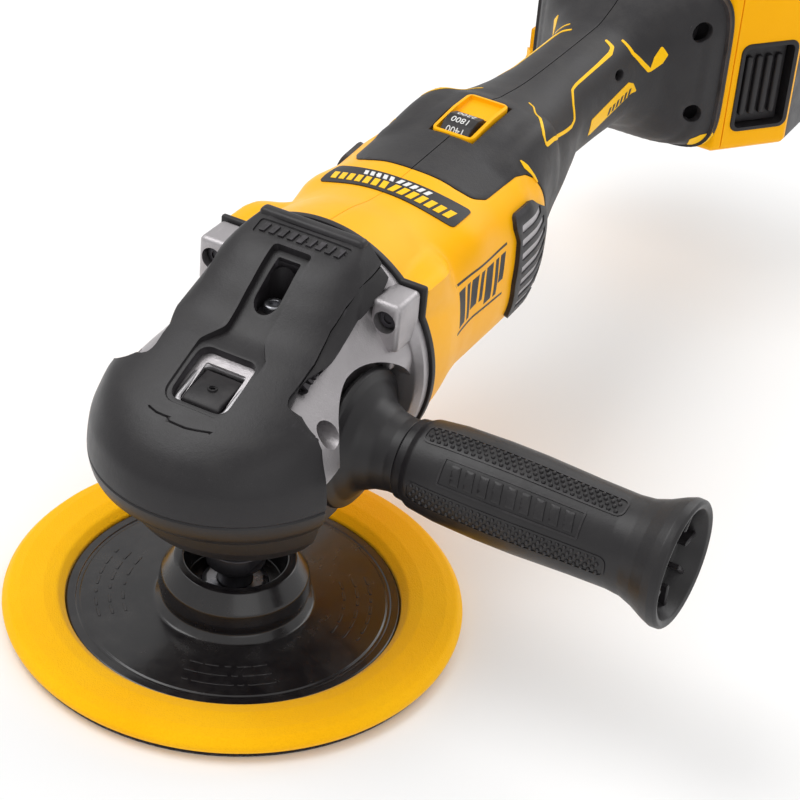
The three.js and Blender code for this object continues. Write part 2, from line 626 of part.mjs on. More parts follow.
function makeBody() {
  const outer = bodyLoft(0, 52.8, FOOT_Y - GAP);
  const under = bodyLoft(SKIN, 52, FOOT_Y + 1);
  const seat = bodyLoft(SKIN + GAP, 52, FOOT_Y + 1);
  const inside = bodyLoft(SKIN + GAP + WALL, 50, FOOT_Y - 4, 12);
  const region = sidePlate(SKIN_REGION, -80, 80);
  const regionRoom = sidePlate(
    SKIN_REGION.map(([y, z]) => [y < 200 ? y - GAP : y, z - GAP]), -80, 80,
  );

  const screwBoss = FLANGE_SCREWS.map(([x, z]) => rod('y', 5.6, 57.2, 76, [x, z], 10));
  const rearSeat = tube('y', 41, 9.8, 139.6, 149, [0, MOTOR_Z], 16)
    .intersect(box(-12.5, 12.5, 139, 150, 40, 160));
  const pivotEars = box(-14, 14, 280, 288, 99, 108).intersect(seat);
  const crossBoss = HALF_SCREWS.map(([y, z]) => rod('x', 4.6, -50, 50, [y, z], 10).intersect(seat));
  const shell = union(
    outer.subtract(inside), union(...screwBoss).intersect(outer), rearSeat, pivotEars, ...crossBoss,
  );

  const openings = [
    box(-DIAL_ROOM.x, DIAL_ROOM.x, DIAL_ROOM.y0, DIAL_ROOM.y1, 120, 160),
    box(-8.2, 8.2, 217, 290.5, 80, 112),
    box(-40, -8, LOCK_ON.y0 - 0.5, LOCK_ON.y1 + 0.5, LOCK_ON.z0 - 0.5, LOCK_ON.z1 + 0.5),
    box(30, 60, VENT_Y[0], VENT_Y[1], VENT_Z[0], VENT_Z[1]),
    box(-60, -30, VENT_Y[0], VENT_Y[1], VENT_Z[0], VENT_Z[1]),
    box(-30, 30, 320, 340, 104, 132),
    rod('x', 2.1, -14.4, 14.4, [TRIGGER_PIVOT_Y, TRIGGER_PIVOT_Z], 12),
    ...FLANGE_SCREWS.map(([x, z]) => rod('y', 2.6, 50, 70, [x, z], 12)),
    ...HALF_SCREWS.map(([y, z, seatX]) => rod('x', 1.9, -seatX, 60, [y, z], 10)),
    ...HALF_SCREWS.map(([y, z, seatX]) => rod('x', 3.8, seatX, 60, [y, z], 10)),
  ];
  const yellow = cut(shell, regionRoom.subtract(seat), ...openings);
  const black = cut(outer.subtract(under).intersect(region), ...openings);
  for (const [side, word] of [[-1, 'left'], [1, 'right']]) {
    add(`housing_${word}`, half(yellow, side), YELLOW);
    add(`grip_${word}`, half(black, side), RUBBER);
  }
  HALF_SCREWS.forEach(([y, z, seatX], index) => {
    const screw = rod('x', 3.4, seatX + GAP, seatX + 2.8, [y, z], 10)
      .add(rod('x', 1.6, 1 - seatX, seatX + 0.5, [y, z], 10));
    const socket = rod('x', 1.6, seatX + 1.4, seatX + 4, [y, z], 6);
    add(`housing_screw_${index + 1}`, screw.subtract(socket), DARK_STEEL);
  });
}

// Slatted covers over the side air inlets.
function makeVentCovers() {
  const [y0, y1] = VENT_Y;
  const [z0, z1] = VENT_Z;
  const skin = bodyLoft(-2, 120, 175).subtract(bodyLoft(1.4, 118, 178));
  const panel = skin.intersect(box(25, 60, y0 + GAP, y1 - GAP, z0 + GAP, z1 - GAP));
  const slots = [];
  const count = 5;
  for (let i = 0; i < count; i += 1) {
    const z = z0 + 8 + i * 7.4;
    slots.push(sidePlate([[y0 + 12, z], [y1 - 7, z + 4], [y1 - 7, z + 7], [y0 + 12, z + 3]], 25, 60));
  }
  const cover = cut(panel, ...slots);
  add('vent_cover_right', cover, BLACK);
  add('vent_cover_left', mirrorX(cover), BLACK);
}

function makeBadge() {
  const band = bodyLoft(-1.1, 87, 108).subtract(bodyLoft(-GAP, 86.5, 109));
  add('badge_band', band.intersect(box(-27, 27, 92, 104, 120, 160)), BLACK);
}

// ---------------------------------------------------------------- controls

function makeDial() {
  const { x, y0, y1 } = DIAL_ROOM;
  const outer = floorPlate(roundedRectangle(-x + GAP, x - GAP, y0 + GAP, y1 - GAP, 1), 130, 144.4);
  const dialSpace = box(-7, 7, DIAL_Y - 10.2, DIAL_Y + 10.2, 120, 160);
  const rearSpace = box(-7, 7, DIAL_Y + 9, y1 - 2.4, 141, 160);
  const axle = rod('x', 1.9, -8.8, 8.8, [DIAL_Y, DIAL_Z], 10);
  add('dial_frame', cut(outer, dialSpace, rearSpace, axle), YELLOW);
  const drum = rod('x', DIAL_R, -6.6, 6.6, [DIAL_Y, DIAL_Z], 12);
  const stub = rod('x', 1.5, -8.4, 8.4, [DIAL_Y, DIAL_Z], 10);
  add('speed_dial', drum.add(stub), BLACK);
  add('speed_sensor_board', box(-9, 9, 150, 178, 122, 124), BOARD);
}

function makeElectronics() {
  add('control_board', box(-24, 24, 156, 192, 84, 104), BOARD);
  add('switch_block', box(-9, 9, 226, 262, 116, 133), BLACK);
}

function makeTrigger() {
  const outline = [
    [288, 100.5], [288, 106.5], [282, 109], [221, 108], [219, 92], [223, 88.4], [230, 88.2],
    [240, 92], [262, 93.6],
  ];
  const body = sidePlate(outline, -7.6, 7.6);
  const bore = rod('x', 2.1, -10, 10, [TRIGGER_PIVOT_Y, TRIGGER_PIVOT_Z], 12);
  add('trigger', body.subtract(bore), BLACK);
  add('trigger_pin', rod('x', 1.7, -14, 14, [TRIGGER_PIVOT_Y, TRIGGER_PIVOT_Z], 12), STEEL);
  add('trigger_spring', tube('z', 3.6, 2.6, 108.6, 115.7, [0, 232], 10), STEEL);
  const { y0, y1, z0, z1 } = LOCK_ON;
  add('lock_on_button', box(-23.6, -14, y0, y1, z0, z1), BLACK);
}

// ---------------------------------------------------------------- battery and its seat

const RAIL = { x: 46, neckZ0: 97, neckZ1: 139, lipZ0: 91.5, lipZ1: 144.5, neckY: 333.6, lipY: 337 };

function makeFootFittings() {
  const { x, neckZ0, neckZ1, lipZ0, lipZ1, neckY, lipY } = RAIL;
  const neck = box(-x, x, FOOT_Y, neckY + 0.5, neckZ0, neckZ1);
  const lip = box(-x, x, neckY, lipY, lipZ0, lipZ1);
  const hole = box(-30, 30, 320, 345, 104, 132);
  add('battery_rails', neck.add(lip).subtract(hole), BLACK);

  const block = box(-29.6, 29.6, 318, 335, 104.4, 131.6);
  const blades = [];
  const count = 5;
  for (let i = 0; i < count; i += 1) {
    const z = 108 + i * 5;
    blades.push(box(-9, 7, 334, 342, z - 0.5, z + 0.5));
  }
  add('terminal_block', union(block, ...blades), BLACK);
}

// A block in the frame of the battery's sloping end: s runs along the slope, d into the pack.
function slopeBox(s0, s1, d0, d1, z0, z1) {
  const geometry = new THREE.BoxGeometry(s1 - s0, d1 - d0, z1 - z0);
  geometry.translate((s0 + s1) / 2, (d0 + d1) / 2, (z0 + z1) / 2);
  geometry.rotateZ(THREE.MathUtils.degToRad(SLOPE));
  return solid(geometry.translate(FOOT_W, FOOT_Y, 0));
}

const LATCH = { s0: 5, s1: 31, z0: 86, z1: 125 };

function makeBattery() {
  const slopeRun = PACK_X1 - FOOT_W;
  const slopeY = FOOT_Y + slopeRun * Math.tan(THREE.MathUtils.degToRad(SLOPE));
  const outline = new THREE.Shape();
  outline.moveTo(PACK_X0, FOOT_Y + 4);
  outline.lineTo(PACK_X0 + 4, FOOT_Y);
  outline.lineTo(FOOT_W, FOOT_Y);
  outline.lineTo(PACK_X1, slopeY);
  outline.lineTo(PACK_X1, PACK_SPLIT_Y);
  outline.lineTo(PACK_X0, PACK_SPLIT_Y);
  const upper = floorPlate(outline, PACK_Z0, PACK_Z1);

  const room = { x0: PACK_X0 + 2.6, x1: 46, y0: 348.8, z0: PACK_Z0 + 3, z1: PACK_Z1 - 3 };
  const clearance = 0.5;
  const railSlot = union(
    box(PACK_X0 - 1, RAIL.x + clearance, FOOT_Y - 1, RAIL.neckY, RAIL.neckZ0 - clearance,
      RAIL.neckZ1 + clearance),
    box(PACK_X0 - 1, RAIL.x + clearance, RAIL.neckY - clearance, RAIL.lipY + clearance,
      RAIL.lipZ0 - clearance, RAIL.lipZ1 + clearance),
    box(PACK_X0 - 1, 30.6, 330, 343, 104, 132),
  );
  const cellRoom = box(room.x0, room.x1, room.y0, 370, room.z0, room.z1);
  const { s0, s1, z0, z1 } = LATCH;
  const latchRoom = slopeBox(s0 - 0.5, s1 + 0.5, -8, 9, z0 - 0.5, z1 + 0.5);
  add('battery_case', cut(upper, railSlot, cellRoom, latchRoom), YELLOW);

  const bevel = 5;
  const lowerShape = new THREE.Shape();
  lowerShape.moveTo(PACK_X0, PACK_SPLIT_Y + GAP);
  lowerShape.lineTo(PACK_X1, PACK_SPLIT_Y + GAP);
  lowerShape.lineTo(PACK_X1, PACK_Y1 - bevel);
  lowerShape.lineTo(PACK_X1 - bevel, PACK_Y1);
  lowerShape.lineTo(PACK_X0 + bevel, PACK_Y1);
  lowerShape.lineTo(PACK_X0, PACK_Y1 - bevel);
  const lower = floorPlate(lowerShape, PACK_Z0, PACK_Z1);
  const lowerRoom = box(room.x0, room.x1, 350, PACK_Y1 - 3, room.z0, room.z1);
  add('battery_lower_case', lower.subtract(lowerRoom), BLACK);

  const cells = [];
  const pitch = 19;
  const columns = 5;
  for (const y of [359, 378.4]) {
    for (let i = 0; i < columns; i += 1) {
      cells.push(rod('z', 9.2, 86, 150, [-42 + i * pitch, y], 8));
    }
  }
  const strips = [
    box(-44, 36, 357, 361, 149.4, 150.6), box(-44, 36, 376.4, 380.4, 149.4, 150.6),
    box(-44, -40, 358, 379, 149.4, 150.6),
  ];
  add('cell_pack', union(...cells, ...strips), DARK_STEEL);

  const ribs = [];
  const ribCount = 4;
  for (let i = 0; i < ribCount; i += 1) {
    const s = s0 + 5 + i * 5.2;
    ribs.push(slopeBox(s, s + 2.4, 0.6, 2.4, z0 + 4, z1 - 4));
  }
  add('battery_latch', union(slopeBox(s0, s1, 2, 5.6, z0, z1), ...ribs), BLACK);
}

// ---------------------------------------------------------------- side handle

function makeSideHandle() {
  const at = [HANDLE_Y, HANDLE_Z];
  const studR = 5;
  const bore = studR + GAP;
  add('side_handle_stud', rod('x', studR, 24, 96, at, 12), STEEL);
  add('side_handle_core', turned('x', [
    [bore, 34], [16, 34], [17, HANDLE_X], [26, HANDLE_X + 2.4], [27.2, HANDLE_X + 4],
    [26.6, HANDLE_X + 5.4], [19, HANDLE_X + 4.4], [15, 43], [13.4, 46], [13.2, 60], [11.4, 60.5],
    [11.4, 158], [bore, 158], [bore, 34],
  ], at, 20), GLOSS);
  const inner = 11.4 + GAP;
  add('side_handle_grip', turned('x', [
    [inner, 61], [17.6, 61], [18.6, 66], [19.4, 100], [18.2, 132], [17.8, 148], [20.4, 157],
    [23.6, 163], [24, HANDLE_END - 1], [22.6, HANDLE_END], [19.4, 166], [16, 159.5], [inner, 159.5],
    [inner, 61],
  ], at, 20), RUBBER);
}

// ---------------------------------------------------------------- assembly

makePad();
makeSpindle();
makeBevelRing();
makeIntermediate();
makeRotor();
makeGearCase();
makeBearings();
makeBearingPlate();
makeHeadCover();
makeSpindleLock();
makeStator();
makeBody();
makeVentCovers();
makeBadge();
makeDial();
makeElectronics();
makeTrigger();
makeFootFittings();
makeBattery();
makeSideHandle();

export default polisher;
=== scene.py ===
"""Finished looks of the rotary polisher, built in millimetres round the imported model."""

import logging
import math
from dataclasses import dataclass
from enum import Enum
from typing import Callable, Iterable, Sequence

import bmesh
import bpy
import numpy as np
from mathutils import Matrix, Vector
from mathutils.geometry import delaunay_2d_cdt


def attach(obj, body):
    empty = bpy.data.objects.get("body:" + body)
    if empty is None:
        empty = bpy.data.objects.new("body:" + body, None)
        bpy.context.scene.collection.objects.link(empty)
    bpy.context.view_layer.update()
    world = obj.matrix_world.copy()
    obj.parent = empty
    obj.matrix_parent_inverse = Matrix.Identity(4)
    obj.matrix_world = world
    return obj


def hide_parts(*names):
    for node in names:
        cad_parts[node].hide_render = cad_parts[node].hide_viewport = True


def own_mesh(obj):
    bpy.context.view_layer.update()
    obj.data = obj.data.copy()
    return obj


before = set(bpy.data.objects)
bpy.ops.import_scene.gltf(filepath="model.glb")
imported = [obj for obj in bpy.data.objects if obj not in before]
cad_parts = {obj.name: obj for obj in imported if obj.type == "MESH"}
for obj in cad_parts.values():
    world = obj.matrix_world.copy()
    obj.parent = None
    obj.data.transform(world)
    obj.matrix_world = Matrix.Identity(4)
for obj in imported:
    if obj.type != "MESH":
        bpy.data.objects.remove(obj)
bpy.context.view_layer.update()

log = logging.getLogger("polisher")
MM = 0.001
BATCH = 2000
Mesh = bmesh.types.BMesh
Tree = bpy.types.NodeTree
Socket = bpy.types.NodeSocket
Pair = tuple[float, float]
Corner = tuple[float, float, float]
Placing = Callable[[np.ndarray], np.ndarray]


class Axis(Enum):
    """The direction that a turned or extruded piece lies along."""

    X = "x"
    Y = "y"
    Z = "z"


class Joining(Enum):
    """How one solid is combined with another."""

    ADD = "UNION"
    CUT = "DIFFERENCE"


# ---------------------------------------------------------------- shader helpers

def linear(hex_colour: str) -> tuple[float, float, float, float]:
    """Linear colour of a six-digit display colour.

    Args:
        hex_colour: The display colour, as "rrggbb".

    Returns:
        Red, green, blue and alpha for a shader socket.
    """
    parts = [int(hex_colour[i:i + 2], 16) / 255 for i in (0, 2, 4)]
    r, g, b = [c / 12.92 if c <= 0.04045 else ((c + 0.055) / 1.055) ** 2.4 for c in parts]
    return r, g, b, 1.0


class Graph:
    """A node tree with short calls for adding and joining nodes."""

    def __init__(self, tree: Tree) -> None:
        """Start on an empty or existing tree.

        Args:
            tree: The node tree to fill.
        """
        self.tree = tree

    def add(self, kind: str, settings: dict | None = None, **inputs: object) -> bpy.types.Node:
        """Add one node.

        Args:
            kind: Blender's name for the node type.
            settings: Properties of the node itself.
            **inputs: Socket values or source sockets, with _ for a space in the name.

        Returns:
            The new node.
        """
        node = self.tree.nodes.new(kind)
        for key, value in (settings or {}).items():
            setattr(node, key, value)
        for key, value in inputs.items():
            socket = node.inputs[int(key[1:]) if key[0] == "i" and key[1:].isdigit()
                                 else key.replace("_", " ")]
            if isinstance(value, Socket):
                self.tree.links.new(value, socket)
            else:
                socket.default_value = value
        return node

    def maths(self, operation: str, *values: object, clamp: bool = False) -> Socket:
        """Result socket of a maths node.

        Args:
            operation: The node's operation.
            *values: Numbers or sockets.
            clamp: Whether the result is held between 0 and 1.

        Returns:
            The socket with the result.
        """
        inputs = {f"i{index}": value for index, value in enumerate(values)}
        return self.add("ShaderNodeMath", {"operation": operation, "use_clamp": clamp}, **inputs).outputs[0]

    def blend(self, factor: object, first: object, second: object) -> Socket:
        """Colour mixed from two.

        Args:
            factor: Share of the second colour.
            first: A colour or its socket.
            second: A colour or its socket.

        Returns:
            The socket with the mixed colour.
        """
        node = self.add("ShaderNodeMix", {"data_type": "RGBA"}, i0=factor, i6=first, i7=second)
        return node.outputs[2]

    def ramp(self, value: object, low: float, high: float) -> Socket:
        """Value stretched from low..high to 0..1.

        Args:
            value: The socket to stretch.
            low: The value that becomes 0.
            high: The value that becomes 1.

        Returns:
            The socket with the stretched value.
        """
        return self.add("ShaderNodeMapRange", None, Value=value, From_Min=low, From_Max=high).outputs[0]


def shared_group(name: str, inputs: dict[str, float | None], outputs: Sequence[str]) -> Tree:
    """New shader node group with its sockets made.

    Args:
        name: The group's name.
        inputs: Input names with their defaults; None makes a vector input.
        outputs: Output names, each a value.

    Returns:
        The group's node tree.
    """
    tree = bpy.data.node_groups.new(name, "ShaderNodeTree")
    for key, value in inputs.items():
        kind = "NodeSocketVector" if value is None else "NodeSocketFloat"
        socket = tree.interface.new_socket(key, in_out="INPUT", socket_type=kind)
        if value is not None:
            socket.default_value = value
    for key in outputs:
        tree.interface.new_socket(key, in_out="OUTPUT", socket_type="NodeSocketFloat")
    return tree


class Effects:
    """The surface effects that the finishes share, each a node group built once."""

    def __init__(self) -> None:
        """Build every group."""
        self.grain = self._grain()
        self.wear = self._wear()
        self.mottle = self._mottle()
        self.cells = self._cells()

    def _grain(self) -> Tree:
        """Fine texture of a mould or a casting, as a height."""
        tree = shared_group("moulded_grain", {"Vector": None, "Scale": 1500.0, "Coarse": 0.4}, ["Height"])
        g = Graph(tree)
        source = g.add("NodeGroupInput")
        fine = g.add("ShaderNodeTexNoise", None, Vector=source.outputs[0], Scale=source.outputs[1],
                     Detail=3.0, Roughness=0.6)
        wide = g.maths("MULTIPLY", source.outputs[1], 0.33)
        pits = g.add("ShaderNodeTexVoronoi", None, Vector=source.outputs[0], Scale=wide)
        height = g.maths("MULTIPLY_ADD", pits.outputs["Distance"], source.outputs[2], fine.outputs[0])
        g.add("NodeGroupOutput", None, Height=height)
        return tree

    def _wear(self) -> Tree:
        """Mask of rubbed edges and mask of scuffs."""
        tree = shared_group("handling_wear", {"Vector": None, "Amount": 0.3, "Scale": 90.0},
                            ["Edges", "Scuffs"])
        g = Graph(tree)
        source = g.add("NodeGroupInput")
        geometry = g.add("ShaderNodeNewGeometry")
        patchy = g.add("ShaderNodeTexNoise", None, Vector=source.outputs[0], Scale=source.outputs[2],
                       Detail=6.0, Roughness=0.65)
        edge = g.ramp(geometry.outputs["Pointiness"], 0.53, 0.62)
        rubbed = g.maths("MULTIPLY", edge, g.ramp(patchy.outputs[0], 0.38, 0.62))
        edges = g.maths("MULTIPLY", rubbed, source.outputs[1], clamp=True)
        stretched = g.add("ShaderNodeMapping", None, Vector=source.outputs[0], Scale=(1.0, 0.12, 1.0),
                          Rotation=(0.3, 0.5, 0.6))
        lines = g.add("ShaderNodeTexNoise", None, Vector=stretched.outputs[0],
                      Scale=g.maths("MULTIPLY", source.outputs[2], 9.0), Detail=2.0)
        scuffs = g.maths("MULTIPLY", g.ramp(lines.outputs[0], 0.66, 0.78), source.outputs[1], clamp=True)
        g.add("NodeGroupOutput", None, Edges=edges, Scuffs=scuffs)
        return tree

    def _mottle(self) -> Tree:
        """Slow change of tone and of polish, with dust on faces that look up."""
        tree = shared_group("tone_and_dust", {"Vector": None, "Scale": 22.0, "Dust": 0.1},
                            ["Tone", "Smudge", "Dust"])
        g = Graph(tree)
        source = g.add("NodeGroupInput")
        slow = g.add("ShaderNodeTexNoise", None, Vector=source.outputs[0], Scale=source.outputs[1],
                     Detail=4.0, Roughness=0.55)
        quick = g.add("ShaderNodeTexNoise", None, Vector=source.outputs[0],
                      Scale=g.maths("MULTIPLY", source.outputs[1], 4.0), Detail=5.0, Roughness=0.7)
        geometry = g.add("ShaderNodeNewGeometry")
        up = g.add("ShaderNodeSeparateXYZ", None, Vector=geometry.outputs["Normal"])
        level = g.ramp(up.outputs[2], 0.4, 1.0)
        dust = g.maths("MULTIPLY", g.maths("MULTIPLY", level, g.ramp(quick.outputs[0], 0.42, 0.7)),
                       source.outputs[2], clamp=True)
        g.add("NodeGroupOutput", None, Tone=g.ramp(slow.outputs[0], 0.3, 0.7),
              Smudge=g.ramp(quick.outputs[0], 0.3, 0.7), Dust=dust)
        return tree

    def _cells(self) -> Tree:
        """Open cells of a foam, as a height and a mask of painted shade in the cell pits."""
        tree = shared_group("foam_cells", {"Vector": None, "Scale": 900.0}, ["Height", "Shade"])
        g = Graph(tree)
        source = g.add("NodeGroupInput")
        cell = g.add("ShaderNodeTexVoronoi", None, Vector=source.outputs[0], Scale=source.outputs[1])
        large = g.add("ShaderNodeTexNoise", None, Vector=source.outputs[0],
                      Scale=g.maths("MULTIPLY", source.outputs[1], 0.12), Detail=4.0)
        height = g.maths("MULTIPLY_ADD", large.outputs[0], 1.4, g.ramp(cell.outputs["Distance"], 0.1, 0.6))
        g.add("NodeGroupOutput", None, Height=height, Shade=g.ramp(cell.outputs["Distance"], 0.45, 0.05))
        return tree


EFFECTS = Effects()


@dataclass(frozen=True)
class Finish:
    """One surface finish: a tinted, grained and lightly used material.

    Attributes:
        name: Name of the material.
        slot: Name of a material slot; not used.
        colour: Main display colour.
        tone: Second display colour of the slow mottling.
        roughness: Middle roughness.
        spread: How far smudges move the roughness.
        metallic: 0 for plastics, 1 for metals.
        grain: Grains to the metre.
        depth: Height of the grain in metres.
        wear: Amount of rubbed edges and scuffs.
        wear_and_pore_shade: Display colour of a rubbed edge; on a foam-cell finish, the colour of the painted
            shade in the cell pits.
        dust: Amount of dust on upward faces.
        coat: Clear gloss over the surface.
        specular: Specular level of the shader.
        sheen: Soft light at grazing angles.
        gleam: Tint of the reflections.
        cells: Whether the grain is foam cells.
    """

    name: str
    slot: str
    colour: str
    tone: str
    roughness: float = 0.5
    spread: float = 0.1
    metallic: float = 0.0
    grain: float = 1500.0
    depth: float = 0.00004
    wear: float = 0.3
    wear_and_pore_shade: str = "8a8688"
    dust: float = 0.06
    coat: float = 0.0
    specular: float = 0.5
    sheen: float = 0.0
    gleam: str = "ffffff"
    cells: bool = False

    def material(self) -> bpy.types.Material:
        """The material, made on its first use.

        Returns:
            The node material.
        """
        found = bpy.data.materials.get(self.name)
        return found if found else self._build()

    def _build(self) -> bpy.types.Material:
        """Make the node tree."""
        material = bpy.data.materials.new(self.name)
        material.use_nodes = True
        material.node_tree.nodes.clear()
        g = Graph(material.node_tree)
        place = g.add("ShaderNodeTexCoord").outputs["Object"]
        mottle = self._group(g, EFFECTS.mottle, place, Dust=self.dust)
        wear = self._group(g, EFFECTS.wear, place, Amount=self.wear)
        colour = g.blend(mottle.outputs["Tone"], linear(self.colour), linear(self.tone))
        if self.cells:
            relief = self._group(g, EFFECTS.cells, place, Scale=self.grain)
            # Painted shade: the cell pits are darkened towards the finish's darker pore colour.
            shade = g.maths("MULTIPLY", relief.outputs["Shade"], 0.35)
            colour = g.blend(shade, colour, linear(self.wear_and_pore_shade))
        else:
            relief = self._group(g, EFFECTS.grain, place, Scale=self.grain)
            colour = g.blend(wear.outputs["Edges"], colour, linear(self.wear_and_pore_shade))
            colour = g.blend(g.maths("MULTIPLY", wear.outputs["Scuffs"], 0.25), colour, linear(self.wear_and_pore_shade))
            colour = g.blend(mottle.outputs["Dust"], colour, linear("b9b4ac"))
        swing = g.maths("MULTIPLY_ADD", mottle.outputs["Smudge"], 2 * self.spread,
                        self.roughness - self.spread)
        rough = g.maths("MULTIPLY_ADD", wear.outputs["Scuffs"], 0.2, swing, clamp=True)
        bump = g.add("ShaderNodeBump", None, Height=relief.outputs["Height"], Strength=1.0,
                     Distance=self.depth)
        shader = g.add("ShaderNodeBsdfPrincipled", None, Base_Color=colour, Roughness=rough,
                       Metallic=self.metallic, Normal=bump.outputs[0], Coat_Weight=self.coat,
                       Coat_Roughness=0.08, Specular_IOR_Level=self.specular,
                       Specular_Tint=linear(self.gleam), Sheen_Weight=self.sheen,
                       Sheen_Roughness=0.4)
        g.add("ShaderNodeOutputMaterial", None, Surface=shader.outputs[0])
        return material

    @staticmethod
    def _group(g: Graph, tree: Tree, place: Socket,
               **inputs: float) -> bpy.types.Node:
        """Place a shared group in the material."""
        node = g.tree.nodes.new("ShaderNodeGroup")
        node.node_tree = tree
        g.tree.links.new(place, node.inputs["Vector"])
        for key, value in inputs.items():
            node.inputs[key].default_value = value
        return node


class Finishes:
    """Every finish on the polisher."""

    YELLOW = Finish("yellow_moulding", "yellow_plastic", "ffb70e", "fab009", 0.4, 0.05, grain=1100,
                    depth=0.000025, wear=0.2, wear_and_pore_shade="ffcf4a", dust=0.02, specular=0.32, gleam="ffc93c")
    ACCENT = Finish("yellow_accent", "yellow_plastic", "ffc816", "fcc010", 0.4, 0.05, grain=1100,
                    depth=0.00002, wear=0.2, wear_and_pore_shade="ffdc6a", dust=0.02, specular=0.3, gleam="ffc93c")
    BLACK = Finish("black_moulding", "black_plastic", "201e20", "1b191b", 0.46, 0.06, grain=1300,
                   depth=0.00005, wear=0.4, wear_and_pore_shade="565256", dust=0.03, specular=0.36)
    COVER = Finish("cover_moulding", "black_plastic", "222022", "1d1b1d", 0.4, 0.05, grain=1700,
                   depth=0.00005, wear=0.4, wear_and_pore_shade="5a565c", dust=0.02, specular=0.36)
    RUBBER = Finish("soft_rubber", "rubber", "242224", "201e20", 0.5, 0.06, grain=1900,
                    depth=0.00006, wear=0.3, wear_and_pore_shade="4d494c", dust=0.04, specular=0.36, sheen=0.04)
    GRIP = Finish("grip_rubber", "rubber", "1b191b", "171517", 0.4, 0.06, grain=1900,
                  depth=0.00004, wear=0.3, wear_and_pore_shade="454144", dust=0.03, specular=0.42)
    GLOSS = Finish("handle_gloss", "gloss_black", "1c1a1c", "171517", 0.42, 0.05, grain=900,
                   depth=0.00001, wear=0.2, wear_and_pore_shade="454145", dust=0.02, specular=0.42)
    DISC = Finish("disc_black", "gloss_black", "161416", "1b181a", 0.24, 0.05, grain=900,
                  depth=0.000008, wear=0.2, wear_and_pore_shade="3a3639", dust=0.03, coat=0.15)
    # On the foam and the hook face, the darker second colour is painted shade in the cell pits, not wear.
    FOAM = Finish("pad_foam", "foam", "ffc014", "ffb90e", 0.8, 0.05, grain=1500, depth=0.00008,
                  wear_and_pore_shade="eea60a", specular=0.2, sheen=0.15, cells=True, gleam="ffc93c")
    HOOK = Finish("hook_fabric", "black_plastic", "242124", "2c292b", 0.95, 0.03, grain=1500,
                  depth=0.0003, wear=0.0, specular=0.2, sheen=0.4, cells=True, wear_and_pore_shade="0c0b0c")
    CAST = Finish("cast_case", "cast_aluminium", "b4b0b2", "a39fa1", 0.44, 0.08, 0.85, grain=1500,
                  depth=0.00012, wear=0.6, wear_and_pore_shade="e4e2e3", dust=0.03)
    POLISHED = Finish("polished_aluminium", "cast_aluminium", "a5a3a5", "989698", 0.34, 0.06, 1.0,
                      grain=1500, depth=0.00002, wear=0.4, wear_and_pore_shade="f2f1f1", dust=0.02)
    STEEL = Finish("turned_steel", "steel", "9b9b9f", "8d8d92", 0.3, 0.08, 1.0, grain=1400,
                   depth=0.00002, wear=0.5, wear_and_pore_shade="d9d9dc", dust=0.02)
    DARK = Finish("blackened_steel", "dark_steel", "4c4a4e", "424044", 0.42, 0.08, 0.85, grain=1400,
                  depth=0.00003, wear=0.5, wear_and_pore_shade="8f8c91", dust=0.02)
    COPPER = Finish("copper_winding", "copper", "b9703e", "a6602f", 0.35, 0.08, 0.95, grain=900,
                    depth=0.00008, wear=0.3, wear_and_pore_shade="e3a37c", dust=0.02)
    BOARD = Finish("green_board", "circuit_board", "2f6b3a", "285c32", 0.45, 0.08, grain=1200,
                   depth=0.00004, wear=0.3, wear_and_pore_shade="c9b45a", dust=0.04)
    SLOT_GREY = Finish("slot_grey", "black_plastic", "b4b0b2", "a8a4a6", 0.5, 0.06, grain=1200,
                       depth=0.00005, wear=0.3, wear_and_pore_shade="d5d2d4", dust=0.02)
    PRINT = Finish("white_print", "black_plastic", "e8e8e6", "dededc", 0.5, 0.05, grain=1500,
                   depth=0.00001, wear=0.2, wear_and_pore_shade="b5b5b3", dust=0.02)


# ---------------------------------------------------------------- shape helpers

def rounded(corners: Sequence[Corner], closed: bool, steps: int = 4) -> list[Pair]:
    """Outline with its corners rounded.

    Args:
        corners: Points as first coordinate, second coordinate and corner radius.
        closed: Whether the last point joins the first.
        steps: Pieces in each rounded corner.

    Returns:
        The points of the rounded outline.
    """
    points: list[Pair] = []
    count = len(corners)
    for index, (x, y, radius) in enumerate(corners):
        here = Vector((x, y))
        before = Vector(corners[index - 1][:2]) - here
        after = Vector(corners[(index + 1) % count][:2]) - here
        end = not closed and index in (0, count - 1)
        if end or radius <= 0 or before.angle(after) > math.pi - 0.03:
            points.append((x, y))
            continue
        angle = before.angle(after)
        reach = min(radius / math.tan(angle / 2), 0.49 * before.length, 0.49 * after.length)
        true_radius = reach * math.tan(angle / 2)
        centre = here + (before.normalized() + after.normalized()).normalized() * (
            true_radius / math.sin(angle / 2))
        first = here + before.normalized() * reach - centre
        last = here + after.normalized() * reach - centre
        sweep = math.pi - angle
        for step in range(steps + 1):
            t = step / steps
            spoke = (first * math.sin((1 - t) * sweep) + last * math.sin(t * sweep)) / math.sin(sweep)
            points.append(tuple(centre + spoke))
    return points


def rectangle(x0: float, x1: float, y0: float, y1: float, radius: float, steps: int = 5) -> list[Pair]:
    """Rounded rectangle.

    Args:
        x0: Low first coordinate.
        x1: High first coordinate.
        y0: Low second coordinate.
        y1: High second coordinate.
        radius: Corner radius.
        steps: Pieces in each corner.

    Returns:
        The outline's points.
    """
    corners = [(x0, y0, radius), (x1, y0, radius), (x1, y1, radius), (x0, y1, radius)]
    return rounded(corners, True, steps)


def circle(x: float, y: float, radius: float, sides: int = 24) -> list[Pair]:
    """Round outline.

    Args:
        x: First coordinate of the centre.
        y: Second coordinate of the centre.
        radius: The radius.
        sides: Number of sides.

    Returns:
        The outline's points.
    """
    angles = [2 * math.pi * k / sides for k in range(sides)]
    return [(x + radius * math.cos(a), y + radius * math.sin(a)) for a in angles]


